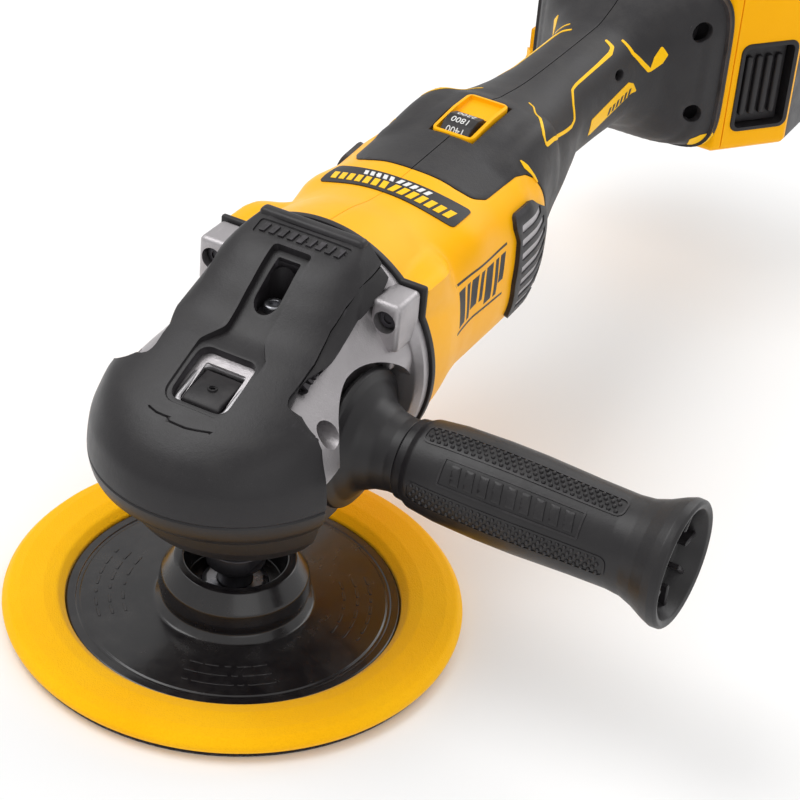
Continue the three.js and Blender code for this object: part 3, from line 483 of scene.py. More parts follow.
def lie(bm: Mesh, axis: Axis, at: Pair = (0, 0)) -> Mesh:
    """Lay a shape made along Z along another axis.

    Args:
        bm: The shape.
        axis: The axis it lies along afterwards.
        at: Place across the axis: y and z for X, x and z for Y, x and y for Z.

    Returns:
        The same shape.
    """
    if axis is Axis.X:
        matrix = Matrix(((0, 0, 1, 0), (1, 0, 0, at[0]), (0, 1, 0, at[1]), (0, 0, 0, 1)))
    elif axis is Axis.Y:
        matrix = Matrix(((0, 1, 0, at[0]), (0, 0, 1, 0), (1, 0, 0, at[1]), (0, 0, 0, 1)))
    else:
        matrix = Matrix.Translation((at[0], at[1], 0))
    bmesh.ops.transform(bm, matrix=matrix, verts=bm.verts)
    return bm


def tidy(bm: Mesh) -> Mesh:
    """Merge doubled points and turn every face outwards."""
    bmesh.ops.remove_doubles(bm, verts=bm.verts, dist=1e-4)
    bmesh.ops.recalc_face_normals(bm, faces=bm.faces)
    return bm


def turned(axis: Axis, profile: Sequence[Corner], at: Pair = (0, 0), steps: int = 96,
           fillet: int = 4) -> Mesh:
    """Solid turned on a lathe.

    Args:
        axis: The axis of turning.
        profile: Radius, height and corner radius of each point; it ends on the axis or closes.
        at: Place across the axis.
        steps: Sides round the axis.
        fillet: Pieces in each rounded corner.

    Returns:
        The closed solid.
    """
    closed = profile[0][0] > 0
    points = rounded(profile, closed, fillet)
    bm = bmesh.new()
    verts = [bm.verts.new((radius, 0, height)) for radius, height in points]
    pairs = list(zip(verts, verts[1:])) + ([(verts[-1], verts[0])] if closed else [])
    edges = [bm.edges.new(pair) for pair in pairs]
    bmesh.ops.spin(bm, geom=verts + edges, cent=(0, 0, 0), axis=(0, 0, 1), dvec=(0, 0, 0),
                   angle=2 * math.pi, steps=steps, use_merge=True, use_duplicate=False)
    return tidy(lie(bm, axis, at))


def cylinder(axis: Axis, radius: float, low: float, high: float, at: Pair, steps: int) -> Mesh:
    """Plain round rod along an axis.

    Args:
        axis: The axis it lies along.
        radius: Its radius.
        low: Where it starts.
        high: Where it ends.
        at: Place across the axis.
        steps: Sides round the axis.

    Returns:
        The closed solid.
    """
    return turned(axis, [(0, low, 0), (radius, low, 0), (radius, high, 0), (0, high, 0)], at, steps)


def prism(axis: Axis, outline: Sequence[Pair], low: float, high: float) -> Mesh:
    """Flat outline pulled out along an axis.

    Args:
        axis: The direction of the pull.
        outline: y and z for X, x and z for Y, x and y for Z.
        low: Where the solid starts.
        high: Where it ends.

    Returns:
        The closed solid.
    """
    order = {Axis.X: lambda p, q: (low, p, q), Axis.Y: lambda p, q: (p, low, q),
             Axis.Z: lambda p, q: (p, q, low)}[axis]
    pull = {Axis.X: (high - low, 0, 0), Axis.Y: (0, high - low, 0), Axis.Z: (0, 0, high - low)}[axis]
    bm = bmesh.new()
    face = bm.faces.new([bm.verts.new(order(p, q)) for p, q in outline])
    grown = bmesh.ops.extrude_face_region(bm, geom=[face])["geom"]
    moved = [v for v in grown if isinstance(v, bmesh.types.BMVert)]
    bmesh.ops.translate(bm, verts=moved, vec=pull)
    return tidy(bm)


def block(low: Sequence[float], high: Sequence[float]) -> Mesh:
    """Box between two corners, ready to be bevelled.

    Args:
        low: Lowest corner.
        high: Highest corner.

    Returns:
        The box.
    """
    bm = bmesh.new()
    bmesh.ops.create_cube(bm, size=1.0)
    size = [b - a for a, b in zip(low, high)]
    middle = Vector([(a + b) / 2 for a, b in zip(low, high)])
    bmesh.ops.scale(bm, verts=bm.verts, vec=size)
    bmesh.ops.translate(bm, verts=bm.verts, vec=middle)
    return bm


def soften(bm: Mesh, width: float, segments: int = 3, angle: float = 28,
           chosen: Callable[[bmesh.types.BMEdge], bool] | None = None) -> Mesh:
    """Round the edges that are sharper than an angle.

    Args:
        bm: The solid.
        width: Width of the rounding.
        segments: Pieces across it.
        angle: Smallest angle between two faces that is rounded, in degrees.
        chosen: Further test that an edge has to pass.

    Returns:
        The same solid.
    """
    limit = math.radians(angle)
    edges = [e for e in bm.edges if len(e.link_faces) == 2 and e.calc_face_angle(0) > limit
             and (chosen is None or chosen(e))]
    bmesh.ops.bevel(bm, geom=edges, offset=width, offset_type="OFFSET", segments=segments, profile=0.5,
                    affect="EDGES", clamp_overlap=True, material=-1)
    return bm


def drawn_in(corners: Sequence[Corner], distance: float, seam: float) -> list[Corner]:
    """Corners of a plan moved inwards, except along a seam.

    Args:
        corners: x, y and rounding of each corner, counterclockwise.
        distance: How far every other side moves.
        seam: Place along Y of the side that stays.

    Returns:
        The moved corners.
    """
    lines = []
    for (x0, y0, _), (x1, y1, _) in zip(corners, list(corners[1:]) + [corners[0]]):
        along = Vector((x1 - x0, y1 - y0)).normalized()
        inward = Vector((-along.y, along.x))
        move = 0.0 if abs(y0 - seam) < 1e-6 and abs(y1 - seam) < 1e-6 else distance
        lines.append((Vector((x0, y0)) + inward * move, along))
    out: list[Corner] = []
    for k, (_, _, radius) in enumerate(corners):
        (p, u), (q, v) = lines[k - 1], lines[k]
        t = (q - p).cross(v) / u.cross(v)
        spot = p + u * t
        out.append((spot.x, spot.y, max(radius - distance, 0.25) if radius > 0 else 0))
    return out


def cushion(corners: Sequence[Corner], low: float, high: float, fillet: float, seam: float,
            steps: int = 5) -> Mesh:
    """Upright prism whose top and bottom edges are rounded, except where it meets a seam.

    Args:
        corners: Corners of its plan, counterclockwise.
        low: Underside.
        high: Top.
        fillet: Rounding of the edges.
        seam: Place along Y where the plan stays full.
        steps: Pieces across the rounding.

    Returns:
        The solid.
    """
    turns = [math.pi / 2 * k / steps for k in range(steps + 1)]
    stack = [(low + fillet * (1 - math.sin(t)), fillet * (1 - math.cos(t))) for t in reversed(turns)]
    stack += [(high - fillet * (1 - math.sin(t)), fillet * (1 - math.cos(t))) for t in turns]
    bm = bmesh.new()
    rows = [[bm.verts.new((x, y, z)) for x, y in rounded(drawn_in(corners, inset, seam), True, 4)]
            for z, inset in stack]
    for lower, upper in zip(rows, rows[1:]):
        for k in range(len(lower)):
            after = (k + 1) % len(lower)
            bm.faces.new((lower[k], lower[after], upper[after], upper[k]))
    bm.faces.new(rows[0][::-1])
    bm.faces.new(rows[-1])
    return tidy(bm)


def coil(radius: float, wire: float, low: float, high: float, turns: float, at: Pair) -> Mesh:
    """Upright coil spring.

    Args:
        radius: Middle radius of the coil.
        wire: Thickness of the wire.
        low: Bottom of the spring.
        high: Top of the spring.
        turns: Number of turns.
        at: Centre in plan.

    Returns:
        The spring.
    """
    sides, steps = 8, int(turns * 20)
    bm = bmesh.new()
    rows = []
    for k in range(steps + 1):
        angle = 2 * math.pi * turns * k / steps
        z = low + wire / 2 + (high - low - wire) * k / steps
        ring = []
        for j in range(sides):
            t = 2 * math.pi * j / sides
            reach = radius + wire / 2 * math.cos(t)
            ring.append(bm.verts.new((at[0] + reach * math.cos(angle), at[1] + reach * math.sin(angle),
                                      z + wire / 2 * math.sin(t))))
        rows.append(ring)
    for first, second in zip(rows, rows[1:]):
        for j in range(sides):
            after = (j + 1) % sides
            bm.faces.new((first[j], second[j], second[after], first[after]))
    bm.faces.new(rows[0])
    bm.faces.new(rows[-1][::-1])
    return tidy(bm)


def joined(parts: Iterable[Mesh]) -> Mesh:
    """One mesh that holds several closed solids.

    Args:
        parts: The solids, which are used up.

    Returns:
        The mesh with all of them.
    """
    whole = bmesh.new()
    for part in parts:
        mesh = bpy.data.meshes.new("part")
        part.to_mesh(mesh)
        part.free()
        whole.from_mesh(mesh)
        bpy.data.meshes.remove(mesh)
    return whole


def settled(bm: Mesh, modifiers: Sequence[tuple[str, dict]]) -> Mesh:
    """Mesh with modifiers worked in.

    Args:
        bm: The mesh, which is used up.
        modifiers: Modifier types with their settings.

    Returns:
        The finished mesh.
    """
    mesh = bpy.data.meshes.new("bench")
    bm.to_mesh(mesh)
    bm.free()
    holder = bpy.data.objects.new("bench", mesh)
    bpy.context.scene.collection.objects.link(holder)
    for kind, settings in modifiers:
        modifier = holder.modifiers.new(kind.lower(), kind)
        for key, value in settings.items():
            setattr(modifier, key, value)
    evaluated = holder.evaluated_get(bpy.context.evaluated_depsgraph_get())
    result = bmesh.new()
    result.from_mesh(evaluated.to_mesh())
    evaluated.to_mesh_clear()
    bpy.data.objects.remove(holder)
    bpy.data.meshes.remove(mesh)
    return result


def combined(base: Mesh, tool: Mesh, how: Joining) -> Mesh:
    """One solid joined to or cut by another.

    Args:
        base: The first solid, which is used up.
        tool: The second solid, which is used up.
        how: The way they are combined.

    Returns:
        The combined solid.
    """
    mesh = bpy.data.meshes.new("tool")
    tool.to_mesh(mesh)
    tool.free()
    holder = bpy.data.objects.new("tool", mesh)
    bpy.context.scene.collection.objects.link(holder)
    result = settled(base, [("BOOLEAN", {"object": holder, "operation": how.value, "solver": "EXACT"})])
    bpy.data.objects.remove(holder)
    bpy.data.meshes.remove(mesh)
    bmesh.ops.remove_doubles(result, verts=result.verts, dist=1e-3)
    return result


def mirrored(bm: Mesh) -> Mesh:
    """Mirror image of a mesh in the plane x = 0, with its faces still outwards."""
    twin = bm.copy()
    bmesh.ops.scale(twin, verts=twin.verts, vec=(-1, 1, 1))
    bmesh.ops.reverse_faces(twin, faces=twin.faces)
    return twin


def doubled(bm: Mesh) -> Mesh:
    """Mesh with its mirror image beside it, the mesh itself being used up."""
    return joined([bm, mirrored(bm)])


@dataclass
class Piece:
    """A finished piece of the polisher on its way into the scene.

    Attributes:
        name: Name of the object.
        finish: Its finish.
        body: The moving body it rides on.
        replaces: CAD nodes it stands for.
        angle: Edges sharper than this stay sharp in the shading, in degrees.
    """

    name: str
    finish: Finish
    body: str = "housing"
    replaces: tuple[str, ...] = ()
    angle: float = 40

    def place(self, bm: Mesh) -> bpy.types.Object:
        """Put the mesh in the scene, in metres.

        Args:
            bm: The finished mesh in millimetres, which is used up.

        Returns:
            The new object.
        """
        bmesh.ops.scale(bm, verts=bm.verts, vec=(MM, MM, MM))
        mesh = bpy.data.meshes.new(self.name)
        bm.to_mesh(mesh)
        bm.free()
        for polygon in mesh.polygons:
            polygon.use_smooth = True
        mesh.set_sharp_from_angle(angle=math.radians(self.angle))
        mesh.materials.append(self.finish.material())
        made = bpy.data.objects.new(self.name, mesh)
        bpy.context.scene.collection.objects.link(made)
        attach(made, self.body)
        if self.replaces:
            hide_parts(*self.replaces)
        log.info("%s: %d faces", self.name, len(mesh.polygons))
        return made


# ---------------------------------------------------------------- trimmed sheets

def resampled(loop: Sequence[Pair], spacing: float, closed: bool = True) -> np.ndarray:
    """Outline with points no further apart than a spacing.

    Args:
        loop: The outline's points.
        spacing: Longest step.
        closed: Whether the outline is a ring.

    Returns:
        The points, as an array.
    """
    points = [np.array(p, float) for p in loop]
    ends = points[1:] + [points[0]] if closed else points[1:]
    out: list[np.ndarray] = []
    for start, stop in zip(points, ends):
        length = float(np.hypot(*(stop - start)))
        count = max(1, math.ceil(length / spacing))
        out.extend(start + (stop - start) * k / count for k in range(count))
    if not closed:
        out.append(points[-1])
    kept = [out[0]]
    for point in out[1:]:
        if np.hypot(*(point - kept[-1])) > 1e-3:
            kept.append(point)
    return np.array(kept)


def inside(points: np.ndarray, loop: np.ndarray) -> np.ndarray:
    """Which points lie within a closed outline.

    Args:
        points: Points to test.
        loop: The outline.

    Returns:
        One truth value for each point.
    """
    x, y = points[:, 0], points[:, 1]
    result = np.zeros(len(points), bool)
    ends = np.roll(loop, -1, axis=0)
    for (x0, y0), (x1, y1) in zip(loop, ends):
        if y0 == y1:
            continue
        spans = (y0 > y) != (y1 > y)
        result ^= spans & (x < (x1 - x0) * (y - y0) / (y1 - y0) + x0)
    return result


def near(points: np.ndarray, marks: np.ndarray, reach: float) -> np.ndarray:
    """Which points lie closer than a reach to any mark."""
    close = np.zeros(len(points), bool)
    for start in range(0, len(points), BATCH):
        part = points[start:start + BATCH]
        gap = ((part[:, None, :] - marks[None, :, :]) ** 2).sum(-1).min(1)
        close[start:start + BATCH] = gap < reach * reach
    return close


def trimmed(outline: Sequence[Pair], holes: Sequence[Sequence[Pair]], spacing: float, place: Placing,
            creases: Sequence[Sequence[Pair]] = ()) -> Mesh:
    """Thin sheet cut to an outline on a curved surface.

    Args:
        outline: Outer edge in the surface's own flat coordinates.
        holes: Inner edges.
        spacing: Size of the sheet's triangles.
        place: Gives the point in space of each flat point.
        creases: Lines that the sheet's edges follow.

    Returns:
        The sheet, one face thick.
    """
    edge_step = spacing * 0.6
    loops = [resampled(outline, edge_step)] + [resampled(hole, edge_step) for hole in holes]
    lines = [resampled(line, edge_step, False) for line in creases]
    marks = np.concatenate(loops + lines)
    low, high = loops[0].min(0), loops[0].max(0)
    rows = np.arange(low[1], high[1], spacing * 0.87)
    grid = np.concatenate([
        np.column_stack([np.arange(low[0] + (k % 2) * spacing / 2, high[0], spacing),
                         np.full(len(np.arange(low[0] + (k % 2) * spacing / 2, high[0], spacing)), row)])
        for k, row in enumerate(rows)])

    def wanted(points: np.ndarray) -> np.ndarray:
        """Points on the sheet itself."""
        keep = inside(points, loops[0])
        for hole in loops[1:]:
            keep &= ~inside(points, hole)
        return keep

    grid = grid[wanted(grid)]
    grid = grid[~near(grid, marks, spacing * 0.5)]
    points: list[np.ndarray] = []
    edges: list[tuple[int, int]] = []
    for ring in loops:
        base = len(points)
        points.extend(ring)
        edges.extend((base + k, base + (k + 1) % len(ring)) for k in range(len(ring)))
    for line in lines:
        base = len(points)
        points.extend(line)
        edges.extend((base + k, base + k + 1) for k in range(len(line) - 1))
    points.extend(grid)
    made = delaunay_2d_cdt([Vector(p) for p in points], edges, [], 0, 1e-5)
    flat = np.array([tuple(p) for p in made[0]])
    faces = np.array(made[2])
    keep = wanted(flat[faces].mean(1))
    spots = place(flat)
    bm = bmesh.new()
    verts = [bm.verts.new(p) for p in spots]
    for face, kept in zip(faces, keep):
        if kept:
            bm.faces.new([verts[k] for k in face])
    loose = [v for v in bm.verts if not v.link_faces]
    bmesh.ops.delete(bm, geom=loose, context="VERTS")
    return bm


def outwards(bm: Mesh, centre: Callable[[Vector], Vector]) -> Mesh:
    """Turn a sheet's faces away from its inside.

    Args:
        bm: The sheet.
        centre: Gives a point inside for a point on the sheet.

    Returns:
        The same sheet.
    """
    votes = sum(1 if (f.calc_center_median() - centre(f.calc_center_median())).dot(f.normal) > 0 else -1
                for f in bm.faces)
    if votes < 0:
        bmesh.ops.reverse_faces(bm, faces=bm.faces)
    bm.normal_update()
    return bm


def walled(bm: Mesh, wall: float, rim: float = 0.3, segments: int = 2) -> Mesh:
    """Sheet given a wall behind it, with rounded front rims.

    Args:
        bm: The sheet, which is used up.
        wall: Thickness of the wall.
        rim: Rounding of its front edges.
        segments: Pieces across the rounding.

    Returns:
        The closed shell.
    """
    bm.normal_update()
    front = list(bm.verts)
    faces = list(bm.faces)
    rims = [e for e in bm.edges if len(e.link_faces) == 1]
    sides = [(e, e.link_loops[0].vert, e.link_loops[0].link_loop_next.vert) for e in rims]
    back = {v: bm.verts.new(v.co - v.normal * wall) for v in front}
    for face in faces:
        bm.faces.new([back[v] for v in reversed(face.verts)])
    for _, first, second in sides:
        bm.faces.new((second, first, back[first], back[second]))
    bm.normal_update()
    if rim > 0:
        bmesh.ops.bevel(bm, geom=rims, offset=rim, offset_type="OFFSET", segments=segments, profile=0.5,
                        affect="EDGES", clamp_overlap=True, material=-1)
    return tidy(bm)


def inlay(outline: Sequence[Pair], spacing: float, place: Placing, middle: Callable[[Vector], Vector],
          wall: float = 0.3, rim: float = 0.0, segments: int = 2) -> Mesh:
    """Thin closed piece that follows a curved surface.

    Args:
        outline: Its edge in the surface's flat coordinates.
        spacing: Size of its triangles.
        place: Gives the point in space of each flat point.
        middle: Gives a point inside the surface for a point on it.
        wall: Thickness of the piece.
        rim: Rounding of its front edges.
        segments: Pieces across the rounding.

    Returns:
        The closed piece.
    """
    return walled(outwards(trimmed(outline, [], spacing, place), middle), wall, rim, segments)


# ---------------------------------------------------------------- surfaces

class Stations:
    """Rows of section sizes, read smoothly and without overshoot between the rows."""

    def __init__(self, rows: Sequence[Sequence[float]]) -> None:
        """Work out the slope at each row.

        Args:
            rows: The key and then the sizes of each row, in order of the key.
        """
        table = np.array(rows, float)
        self.key, self.sizes = table[:, 0], table[:, 1:]
        step = np.diff(self.key)[:, None]
        rise = np.diff(self.sizes, axis=0) / step
        slopes = np.zeros_like(self.sizes)
        slopes[0], slopes[-1] = rise[0], rise[-1]
        same = rise[:-1] * rise[1:] > 0
        weight1 = 2 * step[1:] + step[:-1]
        weight2 = step[1:] + 2 * step[:-1]
        with np.errstate(divide="ignore", invalid="ignore"):
            mean = (weight1 + weight2) / (weight1 / rise[:-1] + weight2 / rise[1:])
        slopes[1:-1] = np.where(same, mean, 0)
        self.slopes = slopes

    def at(self, key: np.ndarray) -> np.ndarray:
        """Sizes at given keys.

        Args:
            key: The keys.

        Returns:
            One row of sizes for each key.
        """
        held = np.clip(key, self.key[0], self.key[-1])
        k = np.clip(np.searchsorted(self.key, held) - 1, 0, len(self.key) - 2)
        width = (self.key[k + 1] - self.key[k])[:, None]
        t = ((held - self.key[k])[:, None]) / width
        low, high = self.sizes[k], self.sizes[k + 1]
        m0, m1 = self.slopes[k] * width, self.slopes[k + 1] * width
        return ((2 * t ** 3 - 3 * t ** 2 + 1) * low + (t ** 3 - 2 * t ** 2 + t) * m0
                + (-2 * t ** 3 + 3 * t ** 2) * high + (t ** 3 - t ** 2) * m1)


def power(value: np.ndarray, exponent: np.ndarray | float) -> np.ndarray:
    """Signed power of each value."""
    return np.sign(value) * np.abs(value) ** exponent


def smooth(value: np.ndarray, low: float, high: float) -> np.ndarray:
    """Soft step from 0 at low to 1 at high."""
    t = np.clip((value - low) / (high - low), 0, 1)
    return t * t * (3 - 2 * t)


class BodySurface:
    """Right half of the outer surface of the motor housing, handle and foot.

    Flat coordinates are y and the share of the way round, from the top seam to the bottom seam,
    times GIRTH.
    """

    GIRTH = 120.0
    ROWS = (
        (52.8, 49.4, 147.4, 48.6, 2), (70, 47.4, 145.4, 50.6, 2), (86, 44, 142, 54.2, 2.1),
        (100, 42.4, 140.6, 56, 2.15), (120, 42.4, 141.6, 56.6, 2.2), (147, 42, 142.9, 58, 2.35),
        (160, 39.6, 143.6, 62.5, 2.6), (172, 35, 143.6, 70, 3), (184, 31, 143.4, 77, 3.2),
        (196, 28.4, 142.4, 82, 2.8), (208, 26.6, 141, 87, 2.5), (220, 24, 140.2, 91.5, 2.4),
        (236, 21, 140, 96.8, 2.4), (284, 21.5, 140.6, 95, 2.5), (300, 27, 144.5, 89, 3),
        (314, 38, 151, 79.4, 4), (329.7, 47.2, 155.4, 74.6, 6),
    )

    def __init__(self) -> None:
        """Prepare the sections."""
        self.stations = Stations(self.ROWS)
        self.angles = np.linspace(0, math.pi, 241)

    def sections(self, y: np.ndarray) -> tuple[np.ndarray, np.ndarray, np.ndarray]:
        """Sections at given places along the tool.

        Args:
            y: The places.

        Returns:
            x, z and share of the way round along each section.
        """
        w, top, bottom, n = self.stations.at(y).T
        a = self.angles[None, :]
        exponent = (2 / n)[:, None]
        x = w[:, None] * power(np.sin(a), exponent)
        x[:, -1] = 0
        z = ((top + bottom) / 2)[:, None] + ((top - bottom) / 2)[:, None] * power(np.cos(a), exponent)
        length = np.hypot(np.diff(x, axis=1), np.diff(z, axis=1))
        run = np.concatenate([np.zeros((len(y), 1)), np.cumsum(length, axis=1)], axis=1)
        return x, z, run / run[:, -1:]

    def bare(self, flat: np.ndarray) -> np.ndarray:
        """Points of the surface before any relief."""
        out = np.empty((len(flat), 3))
        for start in range(0, len(flat), BATCH):
            part = flat[start:start + BATCH]
            share = np.clip(part[:, 1] / self.GIRTH, 0, 1)
            x, z, run = self.sections(part[:, 0])
            k = np.clip((run < share[:, None]).sum(1) - 1, 0, run.shape[1] - 2)
            row = np.arange(len(part))
            t = (share - run[row, k]) / np.maximum(run[row, k + 1] - run[row, k], 1e-9)
            out[start:start + BATCH] = np.column_stack([
                x[row, k] + t * (x[row, k + 1] - x[row, k]), part[:, 0],
                z[row, k] + t * (z[row, k + 1] - z[row, k])])
        return out

    def normals(self, flat: np.ndarray) -> np.ndarray:
        """Outward directions of the bare surface."""
        e = 0.4
        ahead, behind = flat.copy(), flat.copy()
        ahead[:, 0] += e
        behind[:, 0] -= e
        along = self.bare(ahead) - self.bare(behind)
        ahead, behind = flat.copy(), flat.copy()
        ahead[:, 1] = np.minimum(ahead[:, 1] + e, self.GIRTH)
        behind[:, 1] = np.maximum(behind[:, 1] - e, 0)
        around = self.bare(ahead) - self.bare(behind)
        normal = np.cross(around, along)
        seam = (flat[:, 1] < e) | (flat[:, 1] > self.GIRTH - e)
        normal[seam, 0] = 0
        length = np.linalg.norm(normal, axis=1, keepdims=True)
        normal = normal / np.maximum(length, 1e-9)
        middle = self.bare(flat)
        inward = (normal[:, 0] * middle[:, 0] + normal[:, 2] * (middle[:, 2] - 105)) < 0
        normal[inward] *= -1
        return normal

    def relief(self, bare: np.ndarray) -> np.ndarray:
        """Height of the screw bumps, shoulders and dial ridges over the bare surface."""
        x, y, z = bare.T
        cx, cz = np.abs(x), np.maximum(z - 98, 1e-3)
        reach = np.hypot(cx, cz)
        corner = np.minimum(44.2 * reach / np.maximum(cx, 1e-3), 36.6 * reach / cz)
        ear = np.clip(corner - reach, 0, None)
        ear = ear * smooth(ear, 0, 2.5) * (1 - smooth(y, 64, 90)) * (z > 98)
        shoulder = (2.6 + 3 * (1 - smooth(y, 104, 126))) * smooth(y, 78, 104) * (1 - smooth(y, 144, 156))
        shoulder = shoulder * np.exp(-((z - 126) / 9) ** 2) * (z > 98)
        plateau = 1.2 * smooth(y, 148, 168) * (1 - smooth(y, 184, 193)) * (1 - smooth(cx, 17, 24))
        rise = smooth(y, 143, 178)
        ridge = (1.6 + 2.7 * rise) * smooth(y, 141, 152) * (1 - smooth(y, 184, 198))
        ridge = ridge * np.exp(-((cx - 26 + 2 * rise) / 6) ** 2)
        foot = 0.9 * smooth(y, 316.5, 318.5)
        return np.maximum(ear, shoulder) + np.maximum(plateau, ridge) * (z > 110) + foot

    def place(self, flat: np.ndarray, lift: float = 0.0) -> np.ndarray:
        """Points of the finished surface.

        Args:
            flat: Flat coordinates.
            lift: Distance outside the surface.

        Returns:
            The points, moved a hair off the centre seam.
        """
        bare = self.bare(flat)
        height = self.relief(bare) + lift
        spots = bare + self.normals(flat) * height[:, None]
        spots[:, 0] = np.maximum(spots[:, 0], 0) + 0.12
        return spots

    def flat(self, points: Sequence[Sequence[float]]) -> list[Pair]:
        """Flat coordinates of points given by place and height, or by place and half width.

        Args:
            points: y and z, or y, "x" and x for a point on the upper side.

        Returns:
            The flat coordinates.
        """
        out: list[Pair] = []
        for point in points:
            x, z, run = self.sections(np.array([point[0]], float))
            if len(point) == 3:
                half = len(self.angles) // 2
                share = float(np.interp(point[2], x[0, :half], run[0, :half]))
            else:
                share = float(np.interp(-point[1], -z[0], run[0]))
            out.append((float(point[0]), share * self.GIRTH))
        return out


class HeadSurface:
    """Outer surface of the head, drawn in by a depth.

    Flat coordinates are the turn from the nose, times TURN, and the run up the nose line.
    """

    TURN = 200.0
    REAR = 46.0
    ROWS = (
        (70, -53.6, 48.4, -5, 41.6, 2), (75, -58.4, 52.2, -5, 44.6, 2), (82, -60, 53.4, -5, 47, 2),
        (92, -58.6, 52.2, -5, 49, 2.05), (100, -53.4, 49.6, -5, 49.4, 2.15),
        (107, -44.4, 46.8, -4, 49.2, 2.35), (113.2, -31.8, 43, 2, 49.5, 2.6),
        (122.4, -11.2, 36.5, 14, 46, 2.8), (127, 0, 34.5, 20, 43, 2.8),
        (136.5, 13.3, 31, 30, 35, 2.8), (145, 26.2, 26, 37, 26, 2.8), (149.6, 40, 22, 43, 22, 3),
    )
    CORNER = 0.675

    def __init__(self, depth: float = 0.0) -> None:
        """Prepare the sections.

        Args:
            depth: How far inside the outer surface this one lies.
        """
        self.depth = depth
        self.stations = Stations(self.ROWS)
        z = np.linspace(70, 149.6, 400)
        front = self.stations.at(z)[:, 0]
        run = np.concatenate([[0], np.cumsum(np.hypot(np.diff(z), np.diff(front)))])
        self.levels, self.runs = z, run

    def run_at(self, z: float) -> float:
        """Run up the nose line at a height."""
        return float(np.interp(z, self.levels, self.runs))

    def place(self, flat: np.ndarray) -> np.ndarray:
        """Points of the surface.

        Args:
            flat: Flat coordinates.

        Returns:
            The points.
        """
        turn = flat[:, 0] / self.TURN
        level = np.interp(flat[:, 1], self.runs, self.levels)
        front, w, wide, rear, n = self.stations.at(level).T
        slope = smooth(level, 92, 112)
        z = level - self.depth * 1.15 * slope
        front = front + self.depth * (1 - 0.8 * slope)
        w = w - self.depth * (1 - 0.3 * slope)
        rear = rear - self.depth
        share, side = np.abs(turn), np.sign(turn)
        t = np.clip(share / 0.5, 0, 1) * math.pi / 2
        x = w * power(np.sin(t), 2 / n)
        y = wide - (wide - front) * power(np.cos(t), 2 / n)
        back = np.clip((share - 0.5) / (self.CORNER - 0.5), 0, 1)
        x = np.where(share > 0.5, w + (rear - w) * back, x)
        y = np.where(share > 0.5, wide + (self.REAR - wide) * back, y)
        return np.column_stack([side * x, y, z])

    def over(self, plan: Sequence[Pair]) -> list[Pair]:
        """Flat coordinates of plan points on the top of the head.

        Args:
            plan: Points as x and y.

        Returns:
            The flat coordinates.
        """
        points = np.array(plan, float)
        x, y = np.abs(points[:, 0]), points[:, 1]
        low, high = np.full(len(x), 88.0), np.full(len(x), 149.6)
        for _ in range(30):
            level = (low + high) / 2
            front, w, wide, rear, n = self.stations.at(level).T
            ahead = np.clip((wide - y) / (wide - front), 0, None)
            nose = (x / w) ** n + ahead ** n <= 1
            tail = x <= w + (rear - w) * (y - wide) / (self.REAR - wide)
            within = np.where(y < wide, nose, tail)
            low, high = np.where(within, level, low), np.where(within, high, level)
        front, w, wide, rear, n = self.stations.at(low).T
        ahead = np.clip((wide - y) / (wide - front), 0, 1)
        angle = np.arctan2((x / w) ** (n / 2), ahead ** (n / 2))
        turn = np.where(y < wide, angle / (math.pi / 2) * 0.5,
                        0.5 + (self.CORNER - 0.5) * (y - wide) / (self.REAR - wide))
        run = np.interp(low, self.levels, self.runs)
        return [(math.copysign(t * self.TURN, px), r) for t, r, px in zip(turn, run, points[:, 0])]


BODY = BodySurface()
HEAD = HeadSurface()
MOTOR_Z = 98.0
HANDLE_AT = (18.8, 85)
LOCK_Y = -21.6
LOCK_PIN_Y = -26.4
LOCK_SPRING_Y = -18.2
FLANGE_SCREWS = ((37.4, 127), (-37.4, 127), (27, 64), (-27, 64))


def shifted(loop: Sequence[Pair], distance: float) -> list[Pair]:
    """Closed outline moved inwards along its own corners.

    Args:
        loop: The outline, either way round.
        distance: How far; negative moves it outwards.

    Returns:
        The moved outline.
    """
    points = np.array(loop, float)
    x, y = points.T
    area = float(np.sum(x * np.roll(y, -1) - np.roll(x, -1) * y))
    tangent = np.roll(points, -1, axis=0) - np.roll(points, 1, axis=0)
    tangent /= np.maximum(np.linalg.norm(tangent, axis=1, keepdims=True), 1e-9)
    normal = np.column_stack([-tangent[:, 1], tangent[:, 0]]) * (1 if area > 0 else -1)
    return [tuple(p) for p in points + normal * distance]


@dataclass
class Recess:
    """Sunken area of a sheet, with short steep sides.

    Attributes:
        loop: Its outline in flat coordinates.
        depth: How far it is sunk, as a number or from the flat points.
        lip: Width of the steep side.
    """

    loop: Sequence[Pair]
    depth: float | Callable[[np.ndarray], np.ndarray]
    lip: float = 0.5

    def creases(self) -> list[list[Pair]]:
        """Top and foot of the steep side."""
        rings = [shifted(self.loop, -self.lip / 2), shifted(self.loop, self.lip / 2)]
        return [ring + ring[:1] for ring in rings]

    def sunk(self, flat: np.ndarray) -> np.ndarray:
        """Depth at flat points."""
        depth = self.depth(flat) if callable(self.depth) else self.depth
        return inside(flat, np.array(self.loop, float)) * depth


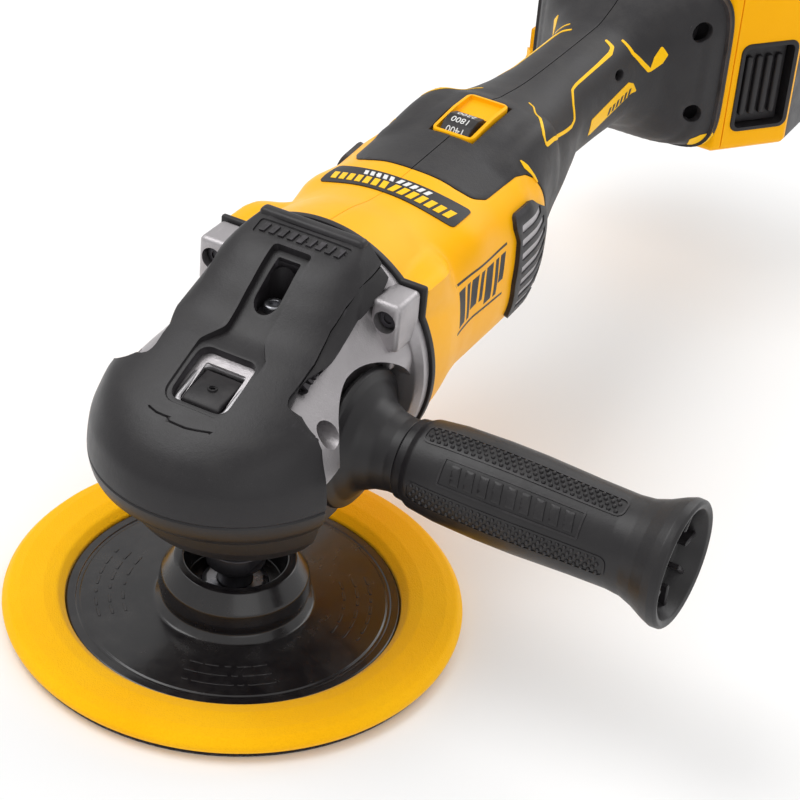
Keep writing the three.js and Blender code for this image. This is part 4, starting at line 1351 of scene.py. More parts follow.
@dataclass
class Groove:
    """Narrow engraved line of a sheet.

    Attributes:
        path: Its middle line in flat coordinates.
        half: Half of its width.
        depth: Depth at the middle.
    """

    path: Sequence[Pair]
    half: float = 0.5
    depth: float = 0.6

    def creases(self) -> list[list[Pair]]:
        """Middle line and both sides."""
        points = resampled(self.path, 1.0, False)
        tangent = np.gradient(points, axis=0)
        tangent /= np.maximum(np.linalg.norm(tangent, axis=1, keepdims=True), 1e-9)
        normal = np.column_stack([-tangent[:, 1], tangent[:, 0]])
        return [[tuple(p) for p in points + normal * s] for s in (-self.half, 0, self.half)]

    def sunk(self, flat: np.ndarray) -> np.ndarray:
        """Depth at flat points."""
        marks = resampled(self.path, 0.25, False)
        gap = np.full(len(flat), 1e9)
        low, high = marks.min(0) - 2, marks.max(0) + 2
        close = np.where(((flat > low) & (flat < high)).all(1))[0]
        for start in range(0, len(close), 2000):
            part = close[start:start + 2000]
            gap[part] = np.sqrt(((flat[part][:, None] - marks[None]) ** 2).sum(-1).min(1))
        return self.depth * np.clip(1 - gap / self.half, 0, 1)


# ---------------------------------------------------------------- pad

@dataclass
class PolishingPad:
    """Foam pad on its backing disc.

    Attributes:
        radius: Radius of the foam.
        height: Height of the foam; not used.
        disc: Radius of the backing disc.
        marks: Raised marks on each side of the disc.
    """

    radius: float = 89
    height: float = 10
    disc: float = 64.5
    marks: int = 7

    def build(self) -> None:
        """Make the pad's pieces."""
        self._hook()
        self._foam()
        self._disc()

    def _hook(self) -> None:
        """Hook-and-loop face under the foam."""
        bm = turned(Axis.Z, [(0, 0, 0), (self.radius - 3, 0, 0.4), (self.radius - 3, 1.2, 0.4), (0, 1.2, 0)],
                    steps=120, fillet=2)
        Piece("pad_hook_face", Finishes.HOOK, "pad_spindle", ("hook_face",)).place(bm)

    def _foam(self) -> None:
        """Pillowed foam ring with a recess for the disc."""
        r = self.radius
        rim = self.disc + 0.3
        profile = [(0, 1.5, 0), (84, 1.5, 1.5), (88, 3.2, 2), (r, 6, 3), (86.4, 9.1, 3), (82, 10, 4),
                   (73, 10, 4), (67.6, 8.9, 3), (rim, 6, 1.5), (rim, 3, 0.6), (0, 3, 0)]
        bm = turned(Axis.Z, profile, steps=160, fillet=8)
        for vert in bm.verts:
            across = math.hypot(vert.co.x, vert.co.y)
            if across > rim + 1 and vert.co.z > 4:
                turn = math.atan2(vert.co.y, vert.co.x)
                wave = 0.22 * math.sin(5 * turn + 0.6) + 0.14 * math.sin(9 * turn + 2.1)
                vert.co.z += min(wave, 0.0) * min(1.0, (vert.co.z - 4) / 4)
        pad = Piece("pad_foam", Finishes.FOAM, "pad_spindle", ("foam_cushion",), 60).place(bm)

    def _disc(self) -> None:
        """Glossy disc with its hub, and raised marks round it."""
        d = self.disc
        flat = [(13.3, 3.3, 0), (d, 3.3, 0.3), (d, 5.1, 0.4), (d - 0.7, 5.5, 0.4), (61, 5.5, 0.3),
                (60.4, 5.1, 0.3), (59.4, 5.1, 0.3), (58.8, 5.5, 0.3), (31, 5.5, 2.5), (27.8, 8.4, 1.5),
                (29.4, 12.8, 2.5), (28.6, 18, 4), (23.4, 25, 1.6), (19.8, 25, 1), (18.5, 13, 1),
                (13.3, 12, 0)]
        disc = turned(Axis.Z, flat, steps=144, fillet=6)
        Piece("pad_backing_disc", Finishes.DISC, "pad_spindle", ("backing_disc",), 35).place(disc)
        raised: list[Mesh] = []
        for middle, spread in ((205, 50), (25, 46), (300, 40)):
            for row in range(3):
                reach = 53 - row * 5.2
                count = self.marks - row
                for k in range(count):
                    turn = math.radians(middle + spread * ((k + 0.5) / count - 0.5))
                    long = 2.6 if (k * 7 + row * 3) % 4 else 1.2
                    mark = soften(block((-long, -0.55, 5.3), (long, 0.55, 5.75)), 0.15, 1)
                    where = Matrix.Translation((reach * math.cos(turn), reach * math.sin(turn), 0))
                    spin = Matrix.Rotation(turn + math.pi / 2, 4, "Z")
                    bmesh.ops.transform(mark, matrix=where @ spin, verts=mark.verts)
                    raised.append(mark)
        Piece("pad_disc_marks", Finishes.DISC, "pad_spindle").place(joined(raised))


# ---------------------------------------------------------------- gear head

def head_middle(point: Vector) -> Vector:
    """Point in the middle of the head, whichever point is asked about."""
    return Vector((0, 12, 85))


@dataclass
class GearHead:
    """Gear case, its spindle end and the moulded cover over it.

    Attributes:
        wall: Wall of the cover.
        case_depth: Distance from the outside of the cover to the case.
        boss: Half width across the two handle faces.
    """

    wall: float = 3.4
    case_depth: float = 4.3
    boss: float = 33.2

    def build(self) -> None:
        """Make the head's pieces."""
        self._case()
        self._retainer()
        self._seal()
        self._cover()
        self._cover_screw()
        self._lock()
        self._spindle()

    def _case_shell(self) -> Mesh:
        """Closed form of the case under the cover."""
        inner = HeadSurface(self.case_depth)
        turns = np.linspace(-1, 1, 73) * HeadSurface.CORNER * HeadSurface.TURN
        rings = []
        for level in np.linspace(70, 149.6, 34):
            run = inner.run_at(level)
            rings.append(inner.place(np.column_stack([turns, np.full(len(turns), run)])))
        bm = bmesh.new()
        rows = [[bm.verts.new(p) for p in ring] for ring in rings]
        for low, high in zip(rows, rows[1:]):
            for k in range(len(low)):
                after = (k + 1) % len(low)
                bm.faces.new((low[k], low[after], high[after], high[k]))
        bm.faces.new(rows[0][::-1])
        bm.faces.new(rows[-1])
        return tidy(bm)

    def _case(self) -> None:
        """Cast case with its flange, screw ears and handle bosses."""
        room = [(-20, 40), (46.4, 40), (46.4, 92), (-11, 92), (-20, 88)]
        case = self._case_shell()
        for side in (1, -1):
            low, high = sorted((side * self.boss, side * 80))
            case = combined(case, prism(Axis.X, room, low, high), Joining.CUT)
            case = combined(case, cylinder(Axis.X, 30.2, low, high, HANDLE_AT, 72), Joining.CUT)
        case = combined(case, block((-60, -80, 40), (60, 33, 68.3)), Joining.CUT)
        flange = turned(Axis.Y, [(0, 44, 0), (47, 44, 1.5), (49.6, 46.4, 0.8), (49.6, 50, 0.3), (0, 50, 0)],
                        (0, MOTOR_Z), 128)
        case = combined(case, flange, Joining.ADD)
        case = combined(case, turned(Axis.Y, [(0, 33, 0), (21, 33, 1.5), (21, 50, 0), (0, 50, 0)],
                                     (0, 78), 64), Joining.ADD)
        for x, z in FLANGE_SCREWS:
            if z > MOTOR_Z:
                ear = soften(block((x - 6.2, 33.6, z - 12), (x + 6.2, 50, z + 8)), 2.2, 4)
                case = combined(case, ear, Joining.ADD)
                neck = soften(block((x - 6.2 if x > 0 else x - 2, 38, z - 24),
                                    (x + 2 if x > 0 else x + 6.2, 50, z)), 2.5, 3)
                case = combined(case, neck, Joining.ADD)
            else:
                case = combined(case, turned(Axis.Y, [(0, 34, 0), (6, 34, 1.2), (6, 50, 0), (0, 50, 0)],
                                             (x, z), 32), Joining.ADD)
        for x, z in FLANGE_SCREWS:
            pocket = turned(Axis.Y, [(0, 25, 0), (4.7, 25, 0), (4.4, 40.9, 0), (0, 40.9, 0)], (x, z), 32)
            case = combined(case, pocket, Joining.CUT)
        for side in (1, -1):
            boss = turned(Axis.X, [(0, 24, 0), (17.5, 24, 0), (17.5, 33.3, 0.8), (0, 33.3, 0)],
                          HANDLE_AT, 64)
            socket = turned(Axis.X, [(0, 22, 0), (5.3, 22, 0), (5.3, 33, 0), (6.2, 34, 0), (0, 34, 0)],
                            HANDLE_AT, 40)
            hollow = turned(Axis.X, [(0, 31, 0), (4.4, 31, 0.6), (5.0, 60, 0), (0, 60, 0)], (-10.5, 104), 32)
            for tool, how in ((boss, Joining.ADD), (socket, Joining.CUT), (hollow, Joining.CUT)):
                case = combined(case, mirrored(tool) if side < 0 else tool, how)
                if side < 0:
                    tool.free()
        well = prism(Axis.Z, rectangle(-8.5, 8.5, LOCK_Y - 9, LOCK_Y + 9, 1), 99.6, 135)
        case = combined(case, well, Joining.CUT)
        case = combined(case, block((-8, 4, 121.6), (8, 30, 160)), Joining.CUT)
        for y, radius, floor in ((LOCK_PIN_Y, 2.5, 60), (LOCK_SPRING_Y, 4.8, 99.4)):
            case = combined(case, cylinder(Axis.Z, radius, floor, 104, (0, y), 24), Joining.CUT)
        Piece("gear_case_casting", Finishes.CAST, "housing", ("gear_case",), 32).place(case)
        collar = prism(Axis.Z, rectangle(-11.3, 11.3, LOCK_Y - 11.1, LOCK_Y + 11.1, 4.2), 100, 122)
        above = [(-60, 109.3), (LOCK_Y - 11.1, 109.3), (LOCK_Y + 11.1, 116.6), (20, 116.6), (20, 140),
                 (-60, 140)]
        collar = combined(collar, prism(Axis.X, above, -20, 20), Joining.CUT)
        inner = prism(Axis.Z, rectangle(-8.7, 8.7, LOCK_Y - 8.9, LOCK_Y + 8.9, 2.8), 95, 130)
        collar = soften(combined(collar, inner, Joining.CUT), 0.9, 4, 50)
        Piece("lock_collar", Finishes.POLISHED, "housing", (), 35).place(collar)
        for index, (x, z) in enumerate(FLANGE_SCREWS):
            screw = turned(Axis.Y, [(0, 37.2, 0), (1.9, 37.2, 0), (1.9, 36.5, 0.2), (4.0, 36.5, 0.7),
                                    (4.0, 40.8, 0), (2, 40.8, 0), (2, 52, 0), (0, 52, 0)], (x, z), 32)
            Piece(f"flange_screw_{index + 1}", Finishes.DARK, "housing",
                  (f"gear_case_screw_{index + 1}",)).place(screw)

    def _retainer(self) -> None:
        """Conical end of the case round the spindle bearing."""
        cone = turned(Axis.Z, [(11, 50.8, 0), (36.6, 50.8, 1.4), (39.6, 52.8, 1.5), (43.4, 58, 3),
                               (46, 68, 0.6), (32, 68, 0), (17.7, 65.6, 0), (17.7, 53.7, 0), (11, 53.7, 0)],
                      steps=96, fillet=5)
        for side in (1, -1):
            low, high = sorted((side * self.boss, side * (self.boss + 60)))
            cone = combined(cone, block((low, -14, 40), (high, 60, 80)), Joining.CUT)
        cone = combined(cone, block((-60, 32.7, 40), (60, 80, 80)), Joining.CUT)
        Piece("spindle_bearing_retainer", Finishes.BLACK, "housing", ("bearing_retainer",), 35).place(cone)

    def _seal(self) -> None:
        """Black ring between case and housing, with bumps at the screw ears."""
        ring = turned(Axis.Y, [(43.9, 50.1, 0), (50.9, 50.1, 0.5), (50.9, 52.9, 0.5), (43.9, 52.9, 0)],
                      (0, MOTOR_Z), 128)
        for x, z in FLANGE_SCREWS[:2]:
            ear = soften(block((x - 7.4, 50.1, z - 10.6), (x + 7.4, 52.9, z + 9.0)), 1.2, 4)
            ring = combined(ring, ear, Joining.ADD)
        Piece("case_seal_ring", Finishes.BLACK, "housing", ("seal_ring",), 35).place(ring)

    def _cover_outline(self) -> list[Pair]:
        """Edge of the cover in flat coordinates, both sides."""
        top = HeadSurface.CORNER * HeadSurface.TURN
        edge = [(76.1, 0), (78.2, 6.3), (79.3, 27.6), (79.0, 41.2), (74.9, 50.4), (59.2, 62.3), (47.2, 66.6),
                (49.2, 76.0), (53.6, 80.4), (62.5, 83.1), (74.4, 86.2), (83.1, 94.0), (98.7, 101.1),
                (115, 108.1), (134.2, 115)]
        right = rounded([(x, y, 1.6) for x, y in edge], False, 3) + [(top, HEAD.runs[-1])]
        return right + [(-x, y) for x, y in reversed(right)]

    def _cover(self) -> None:
        """Moulded cover with its window, channel, grooves and stepped side bands."""
        plan = HEAD.over
        window = plan(rectangle(-12, 12, LOCK_Y - 11.4, LOCK_Y + 11.4, 4.2, 6))
        slot = plan(rounded([(-5.2, 6.6, 5), (5.2, 6.6, 5), (4.8, 26.4, 0.8), (-4.8, 26.4, 0.8)], True, 6))
        channel = rounded([(8, 29.5, 1.6), (8, -1.5, 4), (13.8, -9.5, 3), (13.8, -34.8, 5.5),
                           (-13.8, -34.8, 5.5), (-13.8, -9.5, 3), (-8, -1.5, 4), (-8, 29.5, 1.6)], True, 6)
        sunk = [
            Recess(plan(resampled(channel, 1.0)),
                   lambda flat: 0.9 + 1.9 * smooth(flat[:, 1], HEAD.run_at(120), HEAD.run_at(127)), 0.6),
        ]
        sunk.append(Recess(plan(resampled(rectangle(-19.5, 19.5, 31.8, 38.6, 1.2), 1.0)), 0.6, 0.4))
        arcs = [[(-15.0, -39.2), (-11, -40.4), (-6.4, -40.6)], [(-4.8, -41.8), (2, -42), (10.8, -40.2)]]
        lines = [Groove(plan(arc), 0.5, 0.7) for arc in arcs]
        turn = HeadSurface.CORNER * HeadSurface.TURN
        band = [(turn + 3, 121.5), (110.7, 118.7), (90.1, 117.0), (69.5, 110.6), (57.5, 101.5), (54.6, 93.3),
                (54.2, 86.4), (49.0, 77.0), (44.0, 70.2), (45.6, 67.0), (57, 60.5), (72, 51.0), (84, 44),
                (84, 60), (100, 90), (turn + 3, 100)]
        right = rounded([(x, y, 2.5) for x, y in band], True, 3)
        for side in (1, -1):
            sunk.append(Recess([(side * x, y) for x, y in right], 1.3, 0.7))
            lines.append(Groove([(side * x, y) for x, y in right[3:-12]][:26], 0.6, 0.9))
        rim = [(-turn, HEAD.run_at(81.5)), (turn, HEAD.run_at(81.5))]
        lines.append(Groove([(x * 0.62, y) for x, y in rim], 0.7, 0.55))
        details = sunk + lines

        def place(flat: np.ndarray) -> np.ndarray:
            """Points of the relieved cover."""
            spots = HEAD.place(flat)
            e = 0.3
            along = HEAD.place(flat + [0, e]) - HEAD.place(flat - [0, e])
            around = HEAD.place(flat + [e, 0]) - HEAD.place(flat - [e, 0])
            normal = np.cross(around, along)
            normal /= np.maximum(np.linalg.norm(normal, axis=1, keepdims=True), 1e-9)
            depth = sum(detail.sunk(flat) for detail in details)
            return spots - normal * depth[:, None]

        creases = [crease for detail in details for crease in detail.creases()]
        outline = self._cover_outline()
        edge = resampled(outline, 1.0)
        kept: list[list[Pair]] = []
        for crease in creases:
            points = resampled(crease, 0.8, False)
            run: list[Pair] = []
            for point, ok in zip(points, inside(points, edge)):
                if ok:
                    run.append(tuple(point))
                elif len(run) > 1:
                    kept.append(run)
                    run = []
                else:
                    run = []
            if len(run) > 1:
                kept.append(run)
        sheet = trimmed(outline, [window, slot], 1.7, place, kept)
        shell = walled(outwards(sheet, head_middle), self.wall, 0.35)
        rib = soften(block((-22.4, 40.4, 145), (22.4, 46, 151.4)), 1.9, 4)
        well = prism(Axis.Z, rectangle(-6.6, 6.6, 5.2, 27.8, 3), 124, 150)
        hollow = prism(Axis.Z, rectangle(-5.0, 5.0, 7.0, 26.2, 4.4), 126, 160)
        well = combined(well, hollow, Joining.CUT)
        bmesh.ops.bisect_plane(well, geom=list(well.verts) + list(well.edges) + list(well.faces),
                               plane_co=(0, 0, 122.4), plane_no=(0, -0.557, 0.83), clear_outer=True)
        bars = []
        for k in range(9):
            x = -17.4 + k * 4.0
            bar = plan([(x, 33.2), (x + 2.2, 33.2), (x + 3.0, 37.2), (x + 0.8, 37.2)])
            bars.append(inlay(bar, 1.4, lambda flat: HEAD.place(flat) + [0, 0, 0.1], head_middle, 1.2, 0.15,
                              1))
        whole = joined([shell, rib, well, *bars])
        Piece("head_cover_moulding", Finishes.COVER, "housing", ("head_cover",), 34).place(whole)

    def _cover_screw(self) -> None:
        """Screw at the bottom of the cover's slot."""
        screw = turned(Axis.Z, [(0, 127.8, 0), (1.9, 127.8, 0), (1.9, 129.3, 0.2), (4, 129.3, 0.8),
                                (4, 126.3, 0), (2, 126.3, 0), (2, 112, 0), (0, 112, 0)], (0, 18), 40)
        Piece("cover_screw", Finishes.STEEL, "housing", ("head_cover_screw",)).place(screw)

    def _lock(self) -> None:
        """Square spindle lock button with a ringed dimple."""
        reach = 8.3
        side = [(LOCK_Y - reach, 106), (LOCK_Y + reach, 106), (LOCK_Y + reach, 114.2),
                (LOCK_Y - reach + 2.6, 112.0),
                (LOCK_Y - reach, 110.6)]
        button = soften(prism(Axis.X, side, -7.9, 7.9), 0.9, 3)
        dimple = turned(Axis.Z, [(0, 111.8, 0), (1.0, 112.1, 0.2), (1.0, 125, 0), (0, 125, 0)],
                        (0, LOCK_Y), 24)
        button = combined(button, dimple, Joining.CUT)
        ring = turned(Axis.Z, [(1.3, 111, 0), (1.9, 111, 0), (1.9, 113.5, 0.15), (1.3, 113.5, 0.15)],
                      (0, LOCK_Y), 24)
        Piece("lock_button_cap", Finishes.BLACK, "spindle_lock", ("spindle_lock_button",)).place(
            joined([button, ring]))
        spring = Piece("lock_return_spring", Finishes.STEEL, "housing", ("lock_spring",)).place(
            coil(3.7, 0.9, 99.9, 105.8, 3.5, (0, LOCK_SPRING_Y)))
        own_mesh(spring)

    def _spindle(self) -> None:
        """Dark spindle shoulder between the case and the hub."""
        shaft = turned(Axis.Z, [(0, 5, 0), (6.1, 5, 0), (6.9, 6, 0), (6.9, 22, 0), (10.5, 22.5, 0.3),
                                (11.5, 23.5, 0.4), (11.5, 30, 0.6), (10, 31, 0.4), (10, 52.5, 0),
                                (8.5, 53, 0), (8.5, 82, 0), (5.9, 82.6, 0), (5.9, 93, 0), (0, 93, 0)],
                       steps=64)
        for side in (1, -1):
            low, high = sorted((side * 9.6, side * 20))
            shaft = combined(shaft, block((low, -20, 24.5), (high, 20, 29.5)), Joining.CUT)
        Piece("pad_spindle_shaft", Finishes.DARK, "pad_spindle", ("spindle",)).place(shaft)


# ---------------------------------------------------------------- housing and handle

def region_edge() -> list[Pair]:
    """Edge between the yellow housing and the black handle skin, in flat coordinates."""
    points = [(117.4, 0), (117.6, 5), (118.2, 11), (118.6, 17.5), (120.3, 23.6), (126, 26.9), (139.5, 27.4),
              (148.4, 27.9), (154.8, 30.2), (159.8, 34.4), (163.4, 41), (167, 50), (168.5, 62), (170, 75),
              (174, 90), (181, 105), (186, BodySurface.GIRTH)]
    return rounded([(x, y, 5) for x, y in points], False, 3)


def motor_axis(point: Vector) -> Vector:
    """Point of the motor's axis beside a point."""
    return Vector((0, point.y, MOTOR_Z))


def grip_axis(point: Vector) -> Vector:
    """Point of the handle's middle line beside a point."""
    return Vector((0, point.y, 115))


@dataclass
class HousingShells:
    """Yellow motor housing and black handle skin, in two halves each.

    Attributes:
        wall: Wall of the housing.
        skin: Depth of the handle skin with the wall behind it.
        skin_lift: How far the skin stands proud of the housing.
        vent: Low and high y and z of the air inlet.
    """

    wall: float = 3.0
    skin: float = 3.4
    skin_lift: float = 0.35
    vent: tuple[float, float, float, float] = (136, 157, 84, 119)

    def build(self) -> None:
        """Make both halves of the housing and the skin."""
        edge = region_edge()
        self._housing(edge)
        self._skin(edge)
        self._accents()
        self._badge()
        self._vents()
        self._half_screws()
        self._foot()

    def _sides(self, name: str, finish: Finish, right: Mesh, left: Mesh,
               replaced: str) -> None:
        """Place a right and a left half."""
        Piece(f"{name}_right", finish, "housing", (f"{replaced}_right",), 42).place(right)
        Piece(f"{name}_left", finish, "housing", (f"{replaced}_left",), 42).place(mirrored(left))
        left.free()

    def _shell(self, outline: Sequence[Pair], holes: Sequence[Sequence[Pair]], lift: float, wall: float,
               spacing: float, rim: float = 0.4) -> Mesh:
        """Walled sheet on the body surface."""
        sheet = trimmed(outline, holes, spacing, lambda flat: BODY.place(flat, lift))
        sheet = outwards(sheet, lambda p: Vector((0, p.y, 110 if p.y > 180 else 98)))
        return walled(sheet, wall, rim)

    def _housing(self, edge: list[Pair]) -> None:
        """Yellow shell from the gear case to the edge of the skin."""
        girth = BodySurface.GIRTH
        outline = [(52.9, 0)] + edge + [(52.9, girth)]
        y0, y1, z0, z1 = self.vent
        hole = BODY.flat(rectangle(y0, y1, z0, z1, 4))
        half = self._shell(outline, [hole], 0.0, self.wall, 2.2)
        self._sides("housing_shell", Finishes.YELLOW, half, half.copy(), "housing")

    def _skin(self, edge: list[Pair]) -> None:
        """Black skin over the handle, the hood and the foot."""
        girth = BodySurface.GIRTH
        back = 329.7
        near_edge = [(x + 0.35, y) for x, y in edge]
        last = near_edge[-1][0]
        dial = BODY.flat([(149, "x", 0), (149, "x", 9.9), (183, "x", 9.9), (183, "x", 0)])
        pull = [point[1] for point in BODY.flat([(217.5, "x", 8), (290, "x", 8)])]
        outline = (near_edge[:-1] + [(last, girth), (217.5, girth)]
                   + [(217.5, girth - pull[0])] + [(290, girth - pull[1]), (290, girth), (back, girth)]
                   + [(back, 0), (183, 0)] + dial[::-1][1:3] + [(149, 0)])
        seats = [circle(*BODY.flat([(y, z)])[0], 3.9) for y, z in ((316, 98), (316, 138), (270, 129), (208,
                                                                                                       100))]
        right = self._shell(outline, seats, self.skin_lift, self.skin, 2.0)
        lock = BODY.flat([(234.4, 113), (249.6, 113), (249.6, 123.4), (234.4, 123.4)])
        left = self._shell(outline, [lock], self.skin_lift, self.skin, 2.2)
        self._sides("handle_skin", Finishes.RUBBER, right, left, "grip")

    def _accents(self) -> None:
        """Thin yellow strips let into the skin on both sides."""
        lines = [
            ([(197.4, 13.2), (196, 17), (186, 22.5), (179.4, 25.3), (176.3, 27.3), (175.0, 30.6), (183, 32.0),
              (199, 36.8), (215.5, 41.6), (220.5, 41.2), (224.7, 33.7), (230.8, 26.9), (236.6, 26.0),
              (258.4, 24.9),
              (271.0, 23.9), (275.6, 21.2), (276.9, 13.6)],
             [0.4, 0.4, 0.5, 0.6, 0.8, 0.9, 0.8, 0.9, 1.0, 1.0, 0.9, 1.0, 1.1, 1.3, 1.7, 1.4, 0.8]),
            ([(284.6, 21.2), (285.6, 33.7), (290.1, 44.1), (294.2, 51.6)], [0.8, 1.1, 1.2, 1.2]),
        ]
        shapes: list[list[Pair]] = []
        for path, halves in lines:
            points = np.array(path, float)
            tangent = np.gradient(points, axis=0)
            tangent /= np.linalg.norm(tangent, axis=1, keepdims=True)
            normal = np.column_stack([-tangent[:, 1], tangent[:, 0]]) * np.array(halves)[:, None]
            ring = [tuple(p) for p in points + normal] + [tuple(p) for p in (points - normal)[::-1]]
            shapes.append(rounded([(x, y, 2.5) for x, y in ring], True, 3))
        flag = [(293.2, 52.4), (296.4, 43), (300.8, 38.2), (303, 44.5), (300.6, 48.6)]
        shapes.append(rounded([(x, y, 0.6) for x, y in flag], True, 2))
        strip = [(240.4, 71), (241.5, 58.6), (277.7, 51.4), (282.6, 55), (287.1, 63.8), (281.6, 62.6),
                 (243, 71.6)]
        shapes.append(rounded([(x, y, 0.8) for x, y in strip], True, 2))
        spike = [(155.6, 24.8), (158.4, 28.6), (160.4, 33.4), (161.6, 38.5), (158.6, 32.6), (155.6, 28.2)]
        shapes.append(rounded([(x, y, 0.3) for x, y in spike], True, 2))
        tab = [(320.8, 87.2), (323.6, 84.0), (329.4, 81.6), (329.4, 92), (327.2, 89.6), (324.4, 91.4)]
        shapes.append(rounded([(x, y, 1.0) for x, y in tab], True, 3))
        short = [(253.6, 69.0), (254.2, 56.1), (277.7, 51.4), (282.6, 55), (287.1, 63.8), (281.6, 62.6)]
        left_shapes = list(shapes)
        left_shapes[3] = rounded([(x, y, 0.8) for x, y in short], True, 2)
        lifted = lambda flat: BODY.place(flat, self.skin_lift + 0.18)
        sides = [joined([inlay(shape, 0.9, lifted, grip_axis, 0.5) for shape in group])
                 for group in (shapes, left_shapes)]
        Piece("skin_accents", Finishes.ACCENT).place(joined([sides[0], mirrored(sides[1])]))
        sides[1].free()
        bars = []
        for k in range(3, 9):
            y = 246.5 + k * 3.9
            low = 69.0 - (y - 243) * 0.17
            bar = [(y, low), (y + 2.0, low - 0.3), (y + 3.2, low - 5.6), (y + 1.2, low - 5.3)]
            bars.append(inlay(bar, 1.4, lambda flat: BODY.place(flat, self.skin_lift + 0.3), grip_axis))
        Piece("accent_bars", Finishes.BLACK).place(doubled(joined(bars)))

    def _badge(self) -> None:
        """Curved black band across the housing with plain bars on it."""
        bow = lambda v: 0.0062 * v * v
        front = [(95.0 + 0.7 * bow(v), v, 1.5) for v in np.linspace(0, 26.4, 9)]
        rear = [(108.6 + bow(v) * 1.2, v, 1.5) for v in np.linspace(26.6, 0, 9)]
        front[-1], rear[0] = front[-1][:2] + (4,), rear[0][:2] + (4.5,)
        front[0], rear[-1] = front[0][:2] + (0,), rear[-1][:2] + (0,)
        outline = rounded(front + rear, True, 4)
        centred = lambda lift: lambda flat: BODY.place(flat, lift) - [0.12, 0, 0]
        band = inlay(outline, 1.6, centred(0.5), motor_axis, 0.8, 0.2, 1)
        Piece("badge_plate", Finishes.BLACK, "housing", ("badge_band",)).place(doubled(band))
        for name, finish, y0, y1, count, pitch, fill in (
                ("badge_bars", Finishes.ACCENT, 97.2, 102.8, 7, 3.4, 0.66),
                ("badge_ticks", Finishes.PRINT, 104.0, 107.2, 5, 2.6, 0.6)):
            bars = []
            for k in range(count):
                low = 0.5 + k * pitch
                high = low + pitch * fill
                bar = [(y0 + bow(low), low), (y0 + bow(high), high), (y1 + bow(high), high + 0.8),
                       (y1 + bow(low), low + 0.8)]
                bars.append(inlay(bar, 1.2, centred(0.66), motor_axis))
            Piece(name, finish).place(doubled(joined(bars)))
        self._side_marks()

    def _side_marks(self) -> None:
        """Plain slanted bars between two thin lines on both sides of the housing."""
        shapes = [[(84, 41.6), (126.4, 43.0), (126.4, 43.9), (84, 42.5)],
                  [(80, 57.1), (122, 60.4), (122, 61.3), (80, 58.0)]]
        y = 82.5
        for width, gap, reach in ((5.6, 2.0, 1.0), (2.6, 1.6, 1.0), (5.6, 2.0, 0.8), (2.6, 1.6, 0.8),
                                  (5.6, 2.0, 1.0), (2.6, 1.6, 1.0), (4.0, 2.0, 0.7)):
            high, low = 44.4 + (y - 71) * 0.03, 55.6 + (y - 71) * 0.07
            low = high + (low - high) * reach
            shapes.append([(y + 3.4, high), (y + 3.4 + width, high), (y + width, low), (y, low)])
            y += width + gap
        bars = [inlay(shape, 1.6, lambda flat: BODY.place(flat, 0.06), motor_axis) for shape in shapes]
        Piece("side_marks", Finishes.BLACK).place(doubled(joined(bars)))

    def _vents(self) -> None:
        """Black slatted covers over the side air inlets, with grey slots."""
        frame_line = [(133.0, 36.2, 2.5), (147.4, 36.4, 5), (161.2, 46.2, 5), (164.0, 57, 8),
                      (160.0, 69.5, 6),
                      (149.5, 77.4, 5), (133.6, 78.2, 3), (130.4, 61, 8), (134.2, 46.4, 3), (132.0, 41, 2)]
        outline = rounded(frame_line, True, 5)
        slots, greys = [], []
        for k in range(7):
            v = 42.2 + k * 5.0
            low = 135.2 + 0.3 * abs(k - 3)
            high = 159.4 - 0.5 * (k - 3) ** 2
            slot = [(low, v + 1.9, 0.6), (low + 0.2, v - 0.9, 0.6), (high, v - 0.5, 0.6),
                    (high - 0.2, v + 2.3, 0.6)]
            slots.append(rounded(slot, True, 3))
            greys.append(shifted(slots[-1], -0.5))
        cover = trimmed(outline, slots, 1.3, lambda flat: BODY.place(flat, 1.9))
        cover = walled(outwards(cover, motor_axis), 2.6, 0.5, 3)
        twin = mirrored(cover)
        Piece("vent_frame_right", Finishes.BLACK, "housing", ("vent_cover_right",), 36).place(cover)
        Piece("vent_frame_left", Finishes.BLACK, "housing", ("vent_cover_left",), 36).place(twin)
        panes = [inlay(grey, 1.5, lambda flat: BODY.place(flat, 1.2), motor_axis, 0.8) for grey in greys]
        Piece("vent_slats", Finishes.SLOT_GREY).place(doubled(joined(panes)))

    def _half_screws(self) -> None:
        """Screws that hold the two halves together, seen on the right."""
        for index, (y, z, seat) in enumerate(((316, 98, 28), (316, 138, 28), (270, 129, 10), (208, 100, 14))):
            screw = turned(Axis.X, [(0, seat + 1.4, 0), (1.5, seat + 1.4, 0), (1.5, seat + 2.8, 0.2),
                                    (3.4, seat + 2.8, 0.6), (3.4, seat + 0.3, 0), (1.6, seat + 0.3, 0),
                                    (1.6, 1 - seat, 0), (0, 1 - seat, 0)], (y, z), 32)
            Piece(f"half_screw_{index + 1}", Finishes.DARK, "housing",
                  (f"housing_screw_{index + 1}",)).place(screw)
            well = turned(Axis.X, [(3.9, seat - 0.5, 0), (5, seat - 0.5, 0), (5, seat + 6, 0), (3.9,
                                                                                                seat + 6, 0)],
                          (y, z), 32)
            Piece(f"screw_well_{index + 1}", Finishes.BLACK).place(well)

